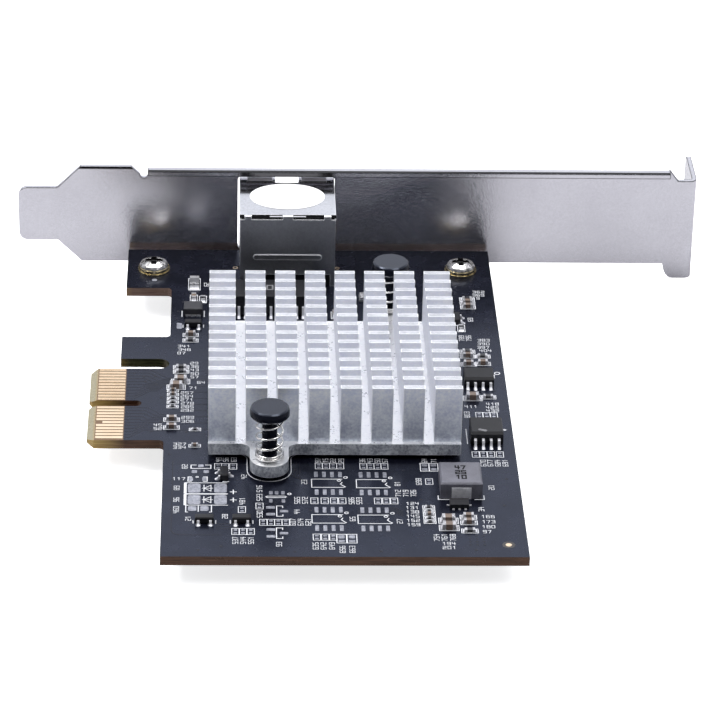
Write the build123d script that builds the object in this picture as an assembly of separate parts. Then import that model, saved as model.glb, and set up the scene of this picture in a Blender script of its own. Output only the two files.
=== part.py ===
from build123d import *
import math
import os

# Network interface card on a full-height slot bracket. All lengths are in millimetres.
# X runs from the contact tips across the card, Y towards the bracket, Z out of the component face.
# The origin is on the key notch centreline, at the contact tips and at mid thickness of the board.

# One overrun serves every cut that passes right through a wall
cut_overrun = 1.0

# Circuit board
board_thickness = 1.57
card_height = 68.90
board_length = 105.60
key_to_rear_edge = 56.93
body_edge_x = 12.40
recess_edge_x = 12.94
screw_tab_edge_x = 5.09
screw_tab_depth = 15.10
blank_tab_edge_x = 4.79
blank_tab_near_y = 15.52
blank_tab_width = 8.00
tongue_far_y = 12.05
tongue_near_y = 12.40
tongue_corner = 1.10
key_notch_width = 1.90
key_notch_depth = 8.60
key_mouth_chamfer = 0.50
bevel_length = 1.25
bevel_tip_thickness = 0.62
recess_corner_radius = 0.80

# Edge contacts
contact_pitch = 1.00
contacts_per_group = 11
first_contact_to_key = 1.50
contact_width = 0.70
contact_start_x = 1.40
contact_end_x = 5.80
contact_thickness = 0.04
presence_contact_count = 6
presence_setback = 1.00

# Slot bracket
sheet_thickness = 0.86
bracket_gap = 1.46
bracket_length = 120.02
bracket_width = 18.42
bracket_drop = 2.95
bracket_tongue_reach = 14.28
bracket_tongue_width = 10.19
bracket_tongue_length = 6.85
bracket_tongue_radius = 1.60
lip_depth = 2.90
lip_start = 22.85
relief_width = 1.40
relief_depth = 2.10
relief_slant = 1.50
end_step_drop = 2.20
end_step_slant = 1.65
end_step_length = 3.40
foot_drop = 2.85
foot_length = 3.35
foot_curve_length = 1.90
foot_curve_steps = 6
flange_reach = 11.43
flange_corner_radius = 1.20
bend_inner_radius = 0.45
flange_notch_width = 4.42
flange_notch_depth = 6.30
flange_notch_to_plate = 6.35
ear_width = 7.40
ear_tip_margin = 3.90
ear_relief = 0.80
ear_relief_height = 0.70
ear_corner_radius = 1.50

# Bracket screws and their washers
screw_tab_margin = 4.65
screw_far_margin = 5.30
screw_to_rear_edge = 8.02
screw_diameter = 2.90
screw_hole_clearance = 0.20
thread_clearance = 0.05
screw_head_diameter = 5.00
screw_head_height = 1.10
screw_head_rim = 0.25
screw_crown_share = 0.50
screw_shoulder_share = 0.90
screw_shoulder_rise_share = 0.45
screw_tip_reach = 1.00
recess_width = 0.95
recess_length = 3.00
recess_depth = 0.90
flat_washer_diameter = 5.60
flat_washer_thickness = 0.35
lock_washer_diameter = 5.25
lock_washer_thickness = 0.55
lock_washer_gap = 0.50
washer_bore_clearance = 0.15

# Modular jack: shield, housing, contacts and light pipes
jack_centre_x = 33.02
jack_width = 16.66
jack_height = 13.40
jack_rear_setback = 14.00
jack_proud_of_bracket = 0.50
shield_thickness = 0.25
opening_near_gap = 0.28
opening_far_gap = 0.15
opening_top_gap = 0.35
opening_low_z = 0.30
opening_radius = 0.65
shield_notch_width = 4.10
shield_notch_depth = 3.00
finger_width = 4.40
finger_length = 1.90
finger_height = 0.22
finger_inset = 1.00
shield_bend_radius = 0.45
shield_corner_radius = 0.22
fold_slot_reach = 0.65
fold_slot_gap = 1.80
fold_slot_margin = 2.05
fold_corner_hole = 0.85
rib_length = 11.80
rib_height = 0.95
rib_proud = 0.22
rib_rise = 5.60
shield_leg_width = 1.60
shield_leg_reach = 1.10
shield_leg_setback = 7.03
shield_leg_clearance = 0.15
rear_wall_rise = 2.20
rear_leg_width = 0.90
housing_clearance = 0.05
housing_recess = 0.25
port_width = 11.90
port_height = 6.90
port_depth = 12.00
port_rise = 2.30
port_step_width = 6.60
port_step_height = 1.50
latch_slot_width = 4.10
jack_contact_count = 8
jack_contact_pitch = 1.02
jack_contact_width = 0.45
jack_contact_thickness = 0.20
jack_contact_run = 8.00
jack_contact_lift = 1.60
jack_contact_front_gap = 2.20
tail_diameter = 0.50
tail_reach = 1.20
tail_row_spacing = 2.54
tail_row_setback = 9.73
tail_clearance = 0.12
peg_diameter = 3.00
peg_spacing = 11.43
peg_setback = 3.53
peg_clearance = 0.10
light_pipe_width = 2.60
light_pipe_height = 1.90
light_pipe_length = 9.00
light_pipe_offset = 5.30
light_pipe_rise = 11.60
label_length = 13.10
label_depth = 10.30
label_thickness = 0.08
label_setback = 6.03

# Heat sink with its spring-loaded push pins
sink_near_x = 19.60
sink_far_margin = 8.95
sink_centre_y = 2.77
sink_front_reach = 21.32
sink_standoff = 0.85
sink_base_thickness = 2.00
sink_fin_height = 9.70
fin_row_count = 14
fin_row_pitch = 3.12
fin_thickness = 1.08
fin_column_count = 8
fin_channel_width = 1.63
outer_column_width = 4.36
fin_front_setback = 0.65
base_rear_ledge = 0.35
lug_radius = 3.07
lug_side_setback = 9.70
lug_offset_y = 25.75
lug_root_radius = 1.50
pin_head_radius = 3.16
pin_head_height = 12.05
pin_head_thickness = 1.65
pin_head_bevel = 0.30
pin_face_radius = 2.80
pin_crown_radius = 3.03
pin_crown_drop = 0.22
pin_side_drop = 0.75
pin_neck_radius = 2.95
pin_neck_height = 1.23
pin_shaft_radius = 1.22
pin_hole_clearance = 0.22
pin_barb_radius = 1.85
pin_barb_height = 0.90
pin_tip_radius = 0.70
pin_tip_height = 1.60
pin_board_clearance = 0.08
pin_slit_width = 0.50
spring_wire = 0.40
spring_diameter = 4.60
spring_closed_coils = 2
spring_closed_pitch = 0.45
spring_open_coils = 3
spring_seat_gap = 0.05
spring_top_gap = 0.90
spring_steps = 12
controller_size = 12.00
controller_substrate = 0.30
controller_mould = 0.45
controller_mould_inset = 0.60
thermal_pad_size = 11.00

# Line transformer module behind the heat sink
module_length = 14.80
module_depth = 6.30
module_height = 3.60
module_standoff = 0.20
module_pin_count = 12
module_pin_pitch = 1.10

# Gull-wing leads
lead_thickness = 0.20
lead_width = 0.42
lead_foot = 0.65
lead_shoulder_share = 0.45
package_standoff = 0.10
narrow_package_length = 4.90
narrow_package_depth = 3.90
narrow_package_height = 1.55
narrow_package_span = 6.00
wide_package_length = 5.23
wide_package_depth = 5.23
wide_package_height = 2.10
wide_package_span = 8.20
package_pitch = 1.27
package_pins = 4
package_edge_bevel = 0.15
package_pin_bevel = 0.40
transistor_length = 2.90
transistor_depth = 1.30
transistor_height = 1.00
transistor_span = 2.40
transistor_pitch = 1.90
transistor_lead_width = 0.40
transistor_foot = 0.30

# Power parts
inductor_length = 6.60
inductor_depth = 6.90
inductor_height = 2.80
inductor_bevel = 0.25
inductor_terminal_width = 3.10
inductor_terminal_rise = 2.00
inductor_terminal_thickness = 0.12
regulator_length = 3.00
regulator_depth = 2.10
regulator_height = 0.80
regulator_pad_width = 0.35
regulator_pad_reach = 0.45
regulator_pad_thickness = 0.15
regulator_pad_pitch = 0.95
filter_length = 3.20
filter_depth = 2.90
filter_height = 1.55
filter_terminal_reach = 0.12
filter_terminal_rise = 0.35
filter_terminal_width = 2.60
fuse_length = 3.20
fuse_width = 1.60
fuse_height = 0.90
crystal_length = 3.20
crystal_width = 2.50
crystal_base = 0.35
crystal_height = 0.75
crystal_lid_inset = 0.15

# Chip parts: length, width and height of each case size, and the length of one metal end
small_case = (1.00, 0.50, 0.50)
medium_case = (1.60, 0.80, 0.75)
large_case = (2.00, 1.25, 1.00)
flat_case_height_share = 0.60
chip_end_share = 0.24
chip_body_inset = 0.02

# Places of the mounted parts: a zone of the board, then the shares of that zone's width and length
module_share = ("rear", 0.323, 0.563)
crystal_share = ("rear", 0.612, 0.739)
inductor_share = ("front", 0.831, 0.704)
regulator_share = ("front", 0.823, 0.517)
filter_share = ("contact side", 0.604, 0.769)
fuse_share = ("contact side", 0.622, 0.871)
narrow_package_share = ("far side", 0.493, 0.537)
wide_package_share = ("far side", 0.504, 0.358)
transistor_places_shares = [
    ("front", 0.119, 0.349, 0),
    ("front", 0.221, 0.349, 0),
    ("front", 0.173, 0.819, 270),
    ("contact side", 0.613, 0.722, 0),
    ("far side", 0.211, 0.744, 90),
]
capacitor_places_shares = [
    ("contact side", 0.347, 0.532, "large", "x"),
    ("contact side", 0.249, 0.513, "large", "x"),
    ("contact side", 0.178, 0.502, "small", "x"),
    ("contact side", 0.181, 0.489, "small", "x"),
    ("contact side", 0.166, 0.408, "medium", "x"),
    ("contact side", 0.166, 0.383, "medium", "x"),
    ("contact side", 0.697, 0.326, "small", "x"),
    ("contact side", 0.556, 0.690, "medium", "x"),
    ("contact side", 0.614, 0.820, "medium", "y"),
    ("far side", 0.470, 0.807, "medium", "x"),
    ("far side", 0.470, 0.792, "medium", "x"),
    ("far side", 0.352, 0.620, "medium", "x"),
    ("far side", 0.346, 0.593, "medium", "x"),
    ("far side", 0.617, 0.595, "medium", "x"),
    ("far side", 0.346, 0.480, "large", "x"),
    ("front", 0.738, 0.424, "small", "x"),
    ("front", 0.789, 0.361, "large", "x"),
    ("front", 0.789, 0.288, "large", "x"),
    ("front", 0.845, 0.397, "medium", "x"),
    ("front", 0.845, 0.341, "medium", "x"),
    ("rear", 0.507, 0.405, "medium", "y"),
]
resistor_places_shares = [
    ("contact side", 0.350, 0.580, "medium", "x"),
    ("contact side", 0.353, 0.565, "medium", "x"),
    ("contact side", 0.181, 0.476, "small", "x"),
    ("contact side", 0.181, 0.464, "small", "x"),
    ("contact side", 0.178, 0.450, "small", "x"),
    ("contact side", 0.698, 0.377, "small", "x"),
    ("contact side", 0.556, 0.671, "medium", "x"),
    ("contact side", 0.833, 0.816, "medium", "y"),
    ("far side", 0.470, 0.821, "medium", "x"),
    ("far side", 0.290, 0.717, "medium", "y"),
    ("far side", 0.352, 0.636, "medium", "x"),
    ("far side", 0.628, 0.620, "medium", "x"),
    ("far side", 0.634, 0.484, "medium", "x"),
    ("front", 0.738, 0.500, "small", "x"),
    ("front", 0.738, 0.460, "small", "x"),
    ("front", 0.738, 0.387, "small", "x"),
    ("front", 0.738, 0.348, "small", "x"),
    ("front", 0.845, 0.258, "medium", "x"),
    ("rear", 0.533, 0.618, "small", "y"),
    ("rear", 0.533, 0.732, "small", "y"),
]

# Levels and edges that several pieces share
top_z = board_thickness / 2
under_z = -board_thickness / 2
near_edge_y = key_to_rear_edge - board_length
plate_inner_y = key_to_rear_edge + bracket_gap
plate_outer_y = plate_inner_y + sheet_thickness
plate_low_z = top_z - bracket_drop
plate_high_z = plate_low_z + bracket_width
bracket_end_x = bracket_length - bracket_tongue_reach
foot_low_z = plate_low_z - foot_drop
step_z = plate_high_z - end_step_drop
screw_y = key_to_rear_edge - screw_to_rear_edge
jack_front_y = plate_outer_y + jack_proud_of_bracket
jack_top_z = top_z + jack_height
housing_front_y = jack_front_y - housing_recess
port_low_z = top_z + port_rise
port_high_z = port_low_z + port_height
jack_rear_y = key_to_rear_edge - jack_rear_setback
sink_far_x = card_height - sink_far_margin
sink_centre_x = (sink_near_x + sink_far_x) / 2
sink_front = sink_centre_y - sink_front_reach
fin_block_depth = (fin_row_count - 1) * fin_row_pitch + fin_thickness
sink_rear = sink_front + fin_front_setback + fin_block_depth + base_rear_ledge
sink_base_z = top_z + sink_standoff
fin_floor_z = sink_base_z + sink_base_thickness
fin_top_z = fin_floor_z + sink_fin_height
pin_spots = [
    (sink_near_x + lug_side_setback, sink_centre_y - lug_offset_y),
    (sink_far_x - lug_side_setback, sink_centre_y + lug_offset_y),
]
zones = {
    "contact side": (body_edge_x, sink_near_x, near_edge_y, key_to_rear_edge),
    "far side": (sink_far_x, card_height, near_edge_y, key_to_rear_edge),
    "front": (body_edge_x, card_height, near_edge_y, sink_front),
    "rear": (body_edge_x, card_height, sink_rear, jack_rear_y),
}
screw_spots = [(screw_tab_edge_x + screw_tab_margin, screw_y), (card_height - screw_far_margin, screw_y)]


def block(x_low, x_high, y_low, y_high, z_low, z_high):
    """Upright box between two corners."""
    size = (x_high - x_low, y_high - y_low, z_high - z_low)
    middle = ((x_high + x_low) / 2, (y_high + y_low) / 2, (z_high + z_low) / 2)
    return Pos(*middle) * Box(*size)


def rod(x, y, radius, z_low, z_high):
    """Upright cylinder between two levels."""
    return Pos(x, y, (z_low + z_high) / 2) * Cylinder(radius, z_high - z_low)


def flat_prism(points, z_low, z_high):
    """Outline in the board's plane, raised between two levels."""
    face = make_face(Polyline(*points, close=True))
    return Pos(0, 0, z_low) * extrude(face, z_high - z_low, dir=(0, 0, 1))


def upright_prism(points, y_low, y_high):
    """Outline in X and Z, carried along Y between two places."""
    face = make_face(Plane.XZ * Polyline(*points, close=True))
    return Pos(0, y_low, 0) * extrude(face, y_high - y_low, dir=(0, 1, 0))


def turned(points, x, y):
    """Profile of radius and level, turned about an upright axis."""
    face = make_face(Plane.XZ * Polyline(*points, close=True))
    return Pos(x, y, 0) * revolve(face, Axis.Z)


def edges_near(solid, axis, places, reach):
    """Straight edges along one axis that pass close to the given points."""
    found = []
    for edge in solid.edges().filter_by(axis):
        middle = edge.center()
        for place in places:
            gaps = [abs(a - b) for a, b in zip(middle, place) if b is not None]
            if max(gaps) < reach:
                found.append(edge)
    return found


def on_board(place_share):
    """Point on the board from a zone and the shares of that zone's width and length."""
    zone, across_share, along_share = place_share
    x_low, x_high, y_low, y_high = zones[zone]
    x = x_low + across_share * (x_high - x_low)
    y = y_low + along_share * (y_high - y_low)
    return x, y


def write_node(name, solids):
    """One file for one named piece, or for a group of like pieces."""
    whole = solids if not isinstance(solids, list) else Compound(children=solids)
    export_step(whole, os.path.join("parts", name + ".step"))


def contact_centres():
    """Places along Y of the contacts, counted away from the key on each side."""
    steps = range(contacts_per_group)
    far = [first_contact_to_key + step * contact_pitch for step in steps]
    near = [-(first_contact_to_key + step * contact_pitch) for step in steps]
    return far, near


def board_outline():
    """Outline of the bare board with its contact tongue, blank tab and screw tab."""
    notch = key_notch_width / 2
    notch_straight = key_notch_depth - notch
    slot_radius = (blank_tab_near_y - tongue_far_y) / 2
    slot_straight = recess_edge_x - slot_radius
    blank_tab_far_y = blank_tab_near_y + blank_tab_width
    screw_tab_y = key_to_rear_edge - screw_tab_depth
    return [
        (body_edge_x, near_edge_y),
        (card_height, near_edge_y),
        (card_height, key_to_rear_edge),
        (screw_tab_edge_x, key_to_rear_edge),
        (screw_tab_edge_x, screw_tab_y),
        (recess_edge_x, screw_tab_y),
        (recess_edge_x, blank_tab_far_y),
        (blank_tab_edge_x, blank_tab_far_y),
        (blank_tab_edge_x, blank_tab_near_y),
        (slot_straight, blank_tab_near_y),
        (slot_straight, tongue_far_y),
        (tongue_corner, tongue_far_y),
        (0, tongue_far_y - tongue_corner),
        (0, notch + key_mouth_chamfer),
        (key_mouth_chamfer, notch),
        (notch_straight, notch),
        (notch_straight, -notch),
        (key_mouth_chamfer, -notch),
        (0, -notch - key_mouth_chamfer),
        (0, tongue_corner - tongue_near_y),
        (tongue_corner, -tongue_near_y),
        (body_edge_x, -tongue_near_y),
    ]


def contact_bevel(side):
    """Wedge that thins one face of the tongue towards its tip."""
    tip = side * bevel_tip_thickness / 2
    face = side * top_z
    slope = (face - tip) / bevel_length
    outside = face + side * cut_overrun
    points = [
        (-cut_overrun, tip - slope * cut_overrun),
        (bevel_length, face),
        (bevel_length, outside),
        (-cut_overrun, outside),
    ]
    return upright_prism(points, -tongue_near_y - cut_overrun, tongue_far_y + cut_overrun)


def jack_tail_spots():
    """Staggered places of the jack's contact tails."""
    spots = []
    for index in range(jack_contact_count):
        x = jack_centre_x + (index - (jack_contact_count - 1) / 2) * jack_contact_pitch
        y = key_to_rear_edge - tail_row_setback + (index % 2) * tail_row_spacing
        spots.append((x, y))
    return spots


def jack_peg_spots():
    """Places of the two locating pegs under the jack."""
    y = key_to_rear_edge - peg_setback
    return [(jack_centre_x + side * peg_spacing / 2, y) for side in (-1, 1)]


def shield_leg_block(side, clearance, z_low, z_high):
    """Leg of the shield's side wall where it passes the board."""
    wall = jack_centre_x + side * (jack_width - shield_thickness) / 2
    half = shield_thickness / 2 + clearance
    reach = shield_leg_width / 2 + clearance
    y = key_to_rear_edge - shield_leg_setback
    return block(wall - half, wall + half, y - reach, y + reach, z_low, z_high)


def circuit_board():
    """Bare board with its slots, bevelled tip and drilled holes."""
    board = flat_prism(board_outline(), under_z, top_z)
    low = under_z - cut_overrun
    high = top_z + cut_overrun
    notch = key_notch_width / 2
    slot_radius = (blank_tab_near_y - tongue_far_y) / 2
    slot_mid_y = (blank_tab_near_y + tongue_far_y) / 2
    board -= rod(key_notch_depth - notch, 0, notch, low, high)
    board -= rod(recess_edge_x - slot_radius, slot_mid_y, slot_radius, low, high)
    inner_corners = [
        (recess_edge_x, key_to_rear_edge - screw_tab_depth, None),
        (recess_edge_x, blank_tab_near_y + blank_tab_width, None),
        (body_edge_x, -tongue_near_y, None),
    ]
    board = fillet(edges_near(board, Axis.Z, inner_corners, recess_corner_radius), recess_corner_radius)
    board -= contact_bevel(1)
    board -= contact_bevel(-1)
    for x, y in screw_spots:
        board -= rod(x, y, screw_diameter / 2 + screw_hole_clearance, low, high)
    for x, y in pin_spots:
        board -= rod(x, y, pin_shaft_radius + pin_hole_clearance, low, high)
    for x, y in jack_tail_spots():
        board -= rod(x, y, tail_diameter / 2 + tail_clearance, low, high)
    for x, y in jack_peg_spots():
        board -= rod(x, y, peg_diameter / 2 + peg_clearance, low, high)
    for side in (-1, 1):
        board -= shield_leg_block(side, shield_leg_clearance, low, high)
    return board


def edge_contacts():
    """Gold contacts on both faces of the tongue, with one short presence contact a side."""
    far, near = contact_centres()
    contacts = []
    for low, high in ((top_z, top_z + contact_thickness), (under_z - contact_thickness, under_z)):
        for y in far + near:
            short = y == near[presence_contact_count - 1]
            start = contact_start_x + (presence_setback if short else 0)
            near_side = y - contact_width / 2
            contacts.append(block(start, contact_end_x, near_side, near_side + contact_width, low, high))
    return contacts


def bracket_outline():
    """Outline of the bracket's flat plate in X and Z."""
    left = -bracket_tongue_reach
    waist = left + bracket_tongue_length
    taper = (bracket_width - bracket_tongue_width) / 2
    relief_right = left + lip_start
    relief_left = relief_right - relief_width
    step_x = bracket_end_x - end_step_length
    foot_x = bracket_end_x - foot_length
    curve = []
    for step in range(foot_curve_steps + 1):
        angle = math.pi / 2 * step / foot_curve_steps
        x = foot_x - foot_curve_length * math.cos(angle)
        z = plate_low_z - foot_drop * math.sin(angle)
        curve.append((x, z))
    return [
        (left, plate_low_z + taper),
        (waist, plate_low_z + taper),
        (waist + taper, plate_low_z),
        *curve,
        (bracket_end_x, foot_low_z),
        (bracket_end_x, step_z),
        (step_x, step_z),
        (step_x - end_step_slant, plate_high_z),
        (relief_right, plate_high_z),
        (relief_right, plate_high_z - relief_depth + relief_width / 2),
        (relief_left, plate_high_z - relief_depth + relief_width / 2),
        (relief_left - relief_slant, plate_high_z),
        (waist + taper, plate_high_z),
        (waist, plate_high_z - taper),
        (left, plate_high_z - taper),
    ]


def bracket_plate():
    """Flat plate with its rounded tongue, relief notch and jack opening."""
    plate = upright_prism(bracket_outline(), plate_inner_y, plate_outer_y)
    taper = (bracket_width - bracket_tongue_width) / 2
    tongue_ends = [
        (-bracket_tongue_reach, None, plate_low_z + taper),
        (-bracket_tongue_reach, None, plate_high_z - taper),
    ]
    plate = fillet(edges_near(plate, Axis.Y, tongue_ends, sheet_thickness), bracket_tongue_radius)
    relief_x = -bracket_tongue_reach + lip_start - relief_width / 2
    relief_z = plate_high_z - relief_depth + relief_width / 2
    plate_mid_y = (plate_inner_y + plate_outer_y) / 2
    round_end = Cylinder(relief_width / 2, sheet_thickness + 2 * cut_overrun)
    plate -= Pos(relief_x, plate_mid_y, relief_z) * Rot(90, 0, 0) * round_end
    half = jack_width / 2
    hole = block(
        jack_centre_x - half - opening_near_gap,
        jack_centre_x + half + opening_far_gap,
        plate_inner_y - cut_overrun,
        plate_outer_y + cut_overrun,
        top_z - opening_low_z,
        jack_top_z + opening_top_gap,
    )
    return plate - fillet(hole.edges().filter_by(Axis.Y), opening_radius)


def bracket_lip():
    """Stiffening lip bent from the plate's upper edge over the card."""
    start = -bracket_tongue_reach + lip_start
    end = bracket_end_x - end_step_length - end_step_slant
    low = plate_high_z - sheet_thickness
    return block(start, end, plate_outer_y - lip_depth, plate_outer_y, low, plate_high_z)


def bracket_flange():
    """End flange with the open notch for the case screw."""
    inner_x = bracket_end_x - sheet_thickness
    far_y = plate_inner_y + flange_reach
    flange = block(inner_x, bracket_end_x, plate_inner_y, far_y, foot_low_z, step_z)
    corners = [(None, far_y, foot_low_z), (None, far_y, step_z)]
    flange = fillet(edges_near(flange, Axis.X, corners, sheet_thickness), flange_corner_radius)
    notch_y = plate_inner_y + flange_notch_to_plate
    half = flange_notch_width / 2
    notch_top = foot_low_z + flange_notch_depth - half
    x_low = inner_x - cut_overrun
    x_high = bracket_end_x + cut_overrun
    flange -= block(x_low, x_high, notch_y - half, notch_y + half, foot_low_z - cut_overrun, notch_top)
    round_end = Cylinder(half, x_high - x_low)
    return flange - Pos((x_low + x_high) / 2, notch_y, notch_top) * Rot(0, 90, 0) * round_end


def bracket_ear(x):
    """Threaded ear that the board lies on, bent from the plate's lower edge."""
    tip_y = screw_y - ear_tip_margin
    low = under_z - sheet_thickness
    ear = block(x - ear_width / 2, x + ear_width / 2, tip_y, plate_outer_y, low, under_z)
    corners = [(x + side * ear_width / 2, tip_y, None) for side in (-1, 1)]
    ear = fillet(edges_near(ear, Axis.Z, corners, sheet_thickness), ear_corner_radius)
    hole_radius = screw_diameter / 2 + thread_clearance
    return ear - rod(x, screw_y, hole_radius, low - cut_overrun, under_z + cut_overrun)


def ear_relief_cut(x):
    """Opening in the plate round the root of one ear."""
    half = ear_width / 2 + ear_relief
    y_low = plate_inner_y - cut_overrun
    y_high = plate_outer_y + cut_overrun
    high = under_z + ear_relief_height
    return block(x - half, x + half, y_low, y_high, plate_low_z - cut_overrun, high)


def ear_root(x):
    """Web of the plate that runs down into one ear."""
    low = under_z - sheet_thickness
    high = under_z + ear_relief_height
    return block(x - ear_width / 2, x + ear_width / 2, plate_inner_y, plate_outer_y, low, high)


def fold(sheet, corner, outward, along, length):
    """Round one fold of the sheet outside and inside, from its sharp outer corner."""
    frame = Plane(origin=corner, x_dir=outward, z_dir=along)
    outer = bend_inner_radius + sheet_thickness
    low = -cut_overrun
    high = length + cut_overrun
    waste = block(0, outer + cut_overrun, 0, outer + cut_overrun, 0, length)
    waste -= rod(0, 0, outer, low, high)
    inner = bend_inner_radius
    filler = block(-inner, 0, -inner, 0, 0, length)
    filler -= rod(-inner, -inner, inner, low, high)
    waste = frame * Pos(-outer, -outer, 0) * waste
    filler = frame * Pos(-sheet_thickness, -sheet_thickness, 0) * filler
    return sheet - waste + filler


def mounting_bracket():
    """Slot bracket folded from one sheet: plate, lip, end flange and two ears."""
    bracket = bracket_plate()
    for x, _ in screw_spots:
        bracket -= ear_relief_cut(x)
    bracket = bracket + bracket_lip() + bracket_flange()
    lip_start_x = -bracket_tongue_reach + lip_start
    lip_length = bracket_end_x - end_step_length - end_step_slant - lip_start_x
    bracket = fold(bracket, (lip_start_x, plate_outer_y, plate_high_z), (0, 1, 0), (1, 0, 0), lip_length)
    flange_height = step_z - foot_low_z
    bracket = fold(bracket, (bracket_end_x, plate_inner_y, step_z), (1, 0, 0), (0, 0, -1), flange_height)
    for x, _ in screw_spots:
        bracket = bracket + ear_root(x) + bracket_ear(x)
        corner = (x + ear_width / 2, plate_outer_y, under_z - sheet_thickness)
        bracket = fold(bracket, corner, (0, 1, 0), (-1, 0, 0), ear_width)
    return bracket


def bracket_screw(x, y):
    """Pan head screw with a cross recess."""
    seat = top_z + flat_washer_thickness + lock_washer_thickness
    head_top = seat + screw_head_height
    rim = seat + screw_head_rim
    half = screw_head_diameter / 2
    low = under_z - sheet_thickness - screw_tip_reach
    crown = screw_crown_share * half
    shoulder = rim + screw_shoulder_rise_share * (head_top - rim)
    points = [
        (0, low),
        (screw_diameter / 2, low),
        (screw_diameter / 2, seat),
        (half, seat),
        (half, rim),
        (screw_shoulder_share * half, shoulder),
        (crown, head_top),
        (0, head_top),
    ]
    screw = turned(points, x, y)
    floor = head_top - recess_depth
    arm = recess_length / 2
    wide = recess_width / 2
    roof = head_top + cut_overrun
    screw -= block(x - arm, x + arm, y - wide, y + wide, floor, roof)
    screw -= block(x - wide, x + wide, y - arm, y + arm, floor, roof)
    return screw


def washer(x, y, diameter, low, thickness):
    """Flat ring under a screw head."""
    bore = screw_diameter / 2 + washer_bore_clearance
    ring = rod(x, y, diameter / 2, low, low + thickness)
    return ring - rod(x, y, bore, low - cut_overrun, low + thickness + cut_overrun)


def lock_washer(x, y):
    """Split spring washer."""
    low = top_z + flat_washer_thickness
    ring = washer(x, y, lock_washer_diameter, low, lock_washer_thickness)
    high = low + lock_washer_thickness + cut_overrun
    half = lock_washer_gap / 2
    return ring - block(x, x + lock_washer_diameter, y - half, y + half, low - cut_overrun, high)


def rear_rib():
    """Rounded embossed rib across the shield's rear wall."""
    straight = (rib_length - rib_height) / 2
    half = rib_height / 2
    z = top_z + rib_rise
    y_high = jack_rear_y + shield_thickness / 2
    y_low = jack_rear_y - rib_proud
    bar = block(jack_centre_x - straight, jack_centre_x + straight, y_low, y_high, z - half, z + half)
    for side in (-1, 1):
        end = Cylinder(half, y_high - y_low)
        bar += Pos(jack_centre_x + side * straight, (y_low + y_high) / 2, z) * Rot(90, 0, 0) * end
    return bar


def fold_slot(start, end):
    """Slot through the bend between the shield's top and rear wall, from its ends beside the centre."""
    x_low, x_high = sorted((jack_centre_x + start, jack_centre_x + end))
    y_low = jack_rear_y - cut_overrun
    y_high = jack_rear_y + fold_slot_reach
    return block(x_low, x_high, y_low, y_high, jack_top_z - fold_slot_reach, jack_top_z + cut_overrun)


def shield_finger(x, y_low, y_high):
    """Raised contact finger on the shield's top."""
    half = finger_width / 2
    z_low = jack_top_z - shield_thickness / 2
    return block(x - half, x + half, y_low, y_high, z_low, jack_top_z + finger_height)


def jack_shield():
    """Folded metal shield, open at its front and underside."""
    half = jack_width / 2
    left = jack_centre_x - half
    right = jack_centre_x + half
    inner = shield_thickness
    outside = block(left, right, jack_rear_y, jack_front_y, top_z, jack_top_z)
    top_bend = edges_near(outside, Axis.X, [(None, jack_rear_y, jack_top_z)], inner)
    outside = fillet(top_bend, shield_bend_radius)
    inside = block(
        left + inner,
        right - inner,
        jack_rear_y + inner,
        jack_front_y + cut_overrun,
        top_z - cut_overrun,
        jack_top_z - inner,
    )
    shield = outside - inside
    notch = shield_notch_width / 2
    notch_low_y = jack_front_y - shield_notch_depth
    shield -= block(
        jack_centre_x - notch,
        jack_centre_x + notch,
        notch_low_y,
        jack_front_y + cut_overrun,
        jack_top_z - inner - cut_overrun,
        jack_top_z + cut_overrun,
    )
    for side in (-1, 1):
        slot_start = fold_slot_gap / 2
        slot_end = half - fold_slot_margin
        shield -= fold_slot(side * slot_start, side * slot_end)
        shield -= fold_slot(side * (half - fold_corner_hole), side * (half + cut_overrun))
    corners = [(left, jack_rear_y, None), (right, jack_rear_y, None)]
    shield = fillet(edges_near(shield, Axis.Z, corners, inner / 2), shield_corner_radius)
    window = half - rear_leg_width
    shield -= block(
        jack_centre_x - window,
        jack_centre_x + window,
        jack_rear_y - cut_overrun,
        jack_rear_y + inner,
        top_z - cut_overrun,
        top_z + rear_wall_rise,
    )
    shield += rear_rib()
    for side in (-1, 1):
        finger_x = jack_centre_x + side * (notch + finger_width / 2 + finger_inset / 2)
        finger_y = jack_front_y - finger_inset
        shield += shield_finger(finger_x, finger_y - finger_length, finger_y)
        shield += shield_leg_block(side, 0, under_z - shield_leg_reach, top_z + inner)
    return shield


def jack_housing():
    """Plastic insert with the stepped port, latch slot, pockets and locating pegs."""
    gap = shield_thickness + housing_clearance
    half = jack_width / 2 - gap
    rear = jack_rear_y + gap
    housing = block(
        jack_centre_x - half,
        jack_centre_x + half,
        rear,
        housing_front_y,
        top_z,
        jack_top_z - gap,
    )
    depth_y = housing_front_y - port_depth
    out_y = jack_front_y + cut_overrun
    steps = [
        (port_width, port_low_z, port_high_z),
        (port_step_width, port_high_z, port_high_z + port_step_height),
        (latch_slot_width, port_high_z, jack_top_z),
    ]
    for width, low, high in steps:
        reach = width / 2
        housing -= block(jack_centre_x - reach, jack_centre_x + reach, depth_y, out_y, low, high)
    for side in (-1, 1):
        housing -= light_pipe_block(side)
    for x, y in jack_peg_spots():
        housing += rod(x, y, peg_diameter / 2, under_z, top_z)
    return housing


def light_pipe_block(side):
    """Rectangular light pipe beside the latch slot."""
    x = jack_centre_x + side * light_pipe_offset
    reach = light_pipe_width / 2
    rise = light_pipe_height / 2
    z = top_z + light_pipe_rise
    y_low = housing_front_y - light_pipe_length
    return block(x - reach, x + reach, y_low, housing_front_y, z - rise, z + rise)


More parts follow.
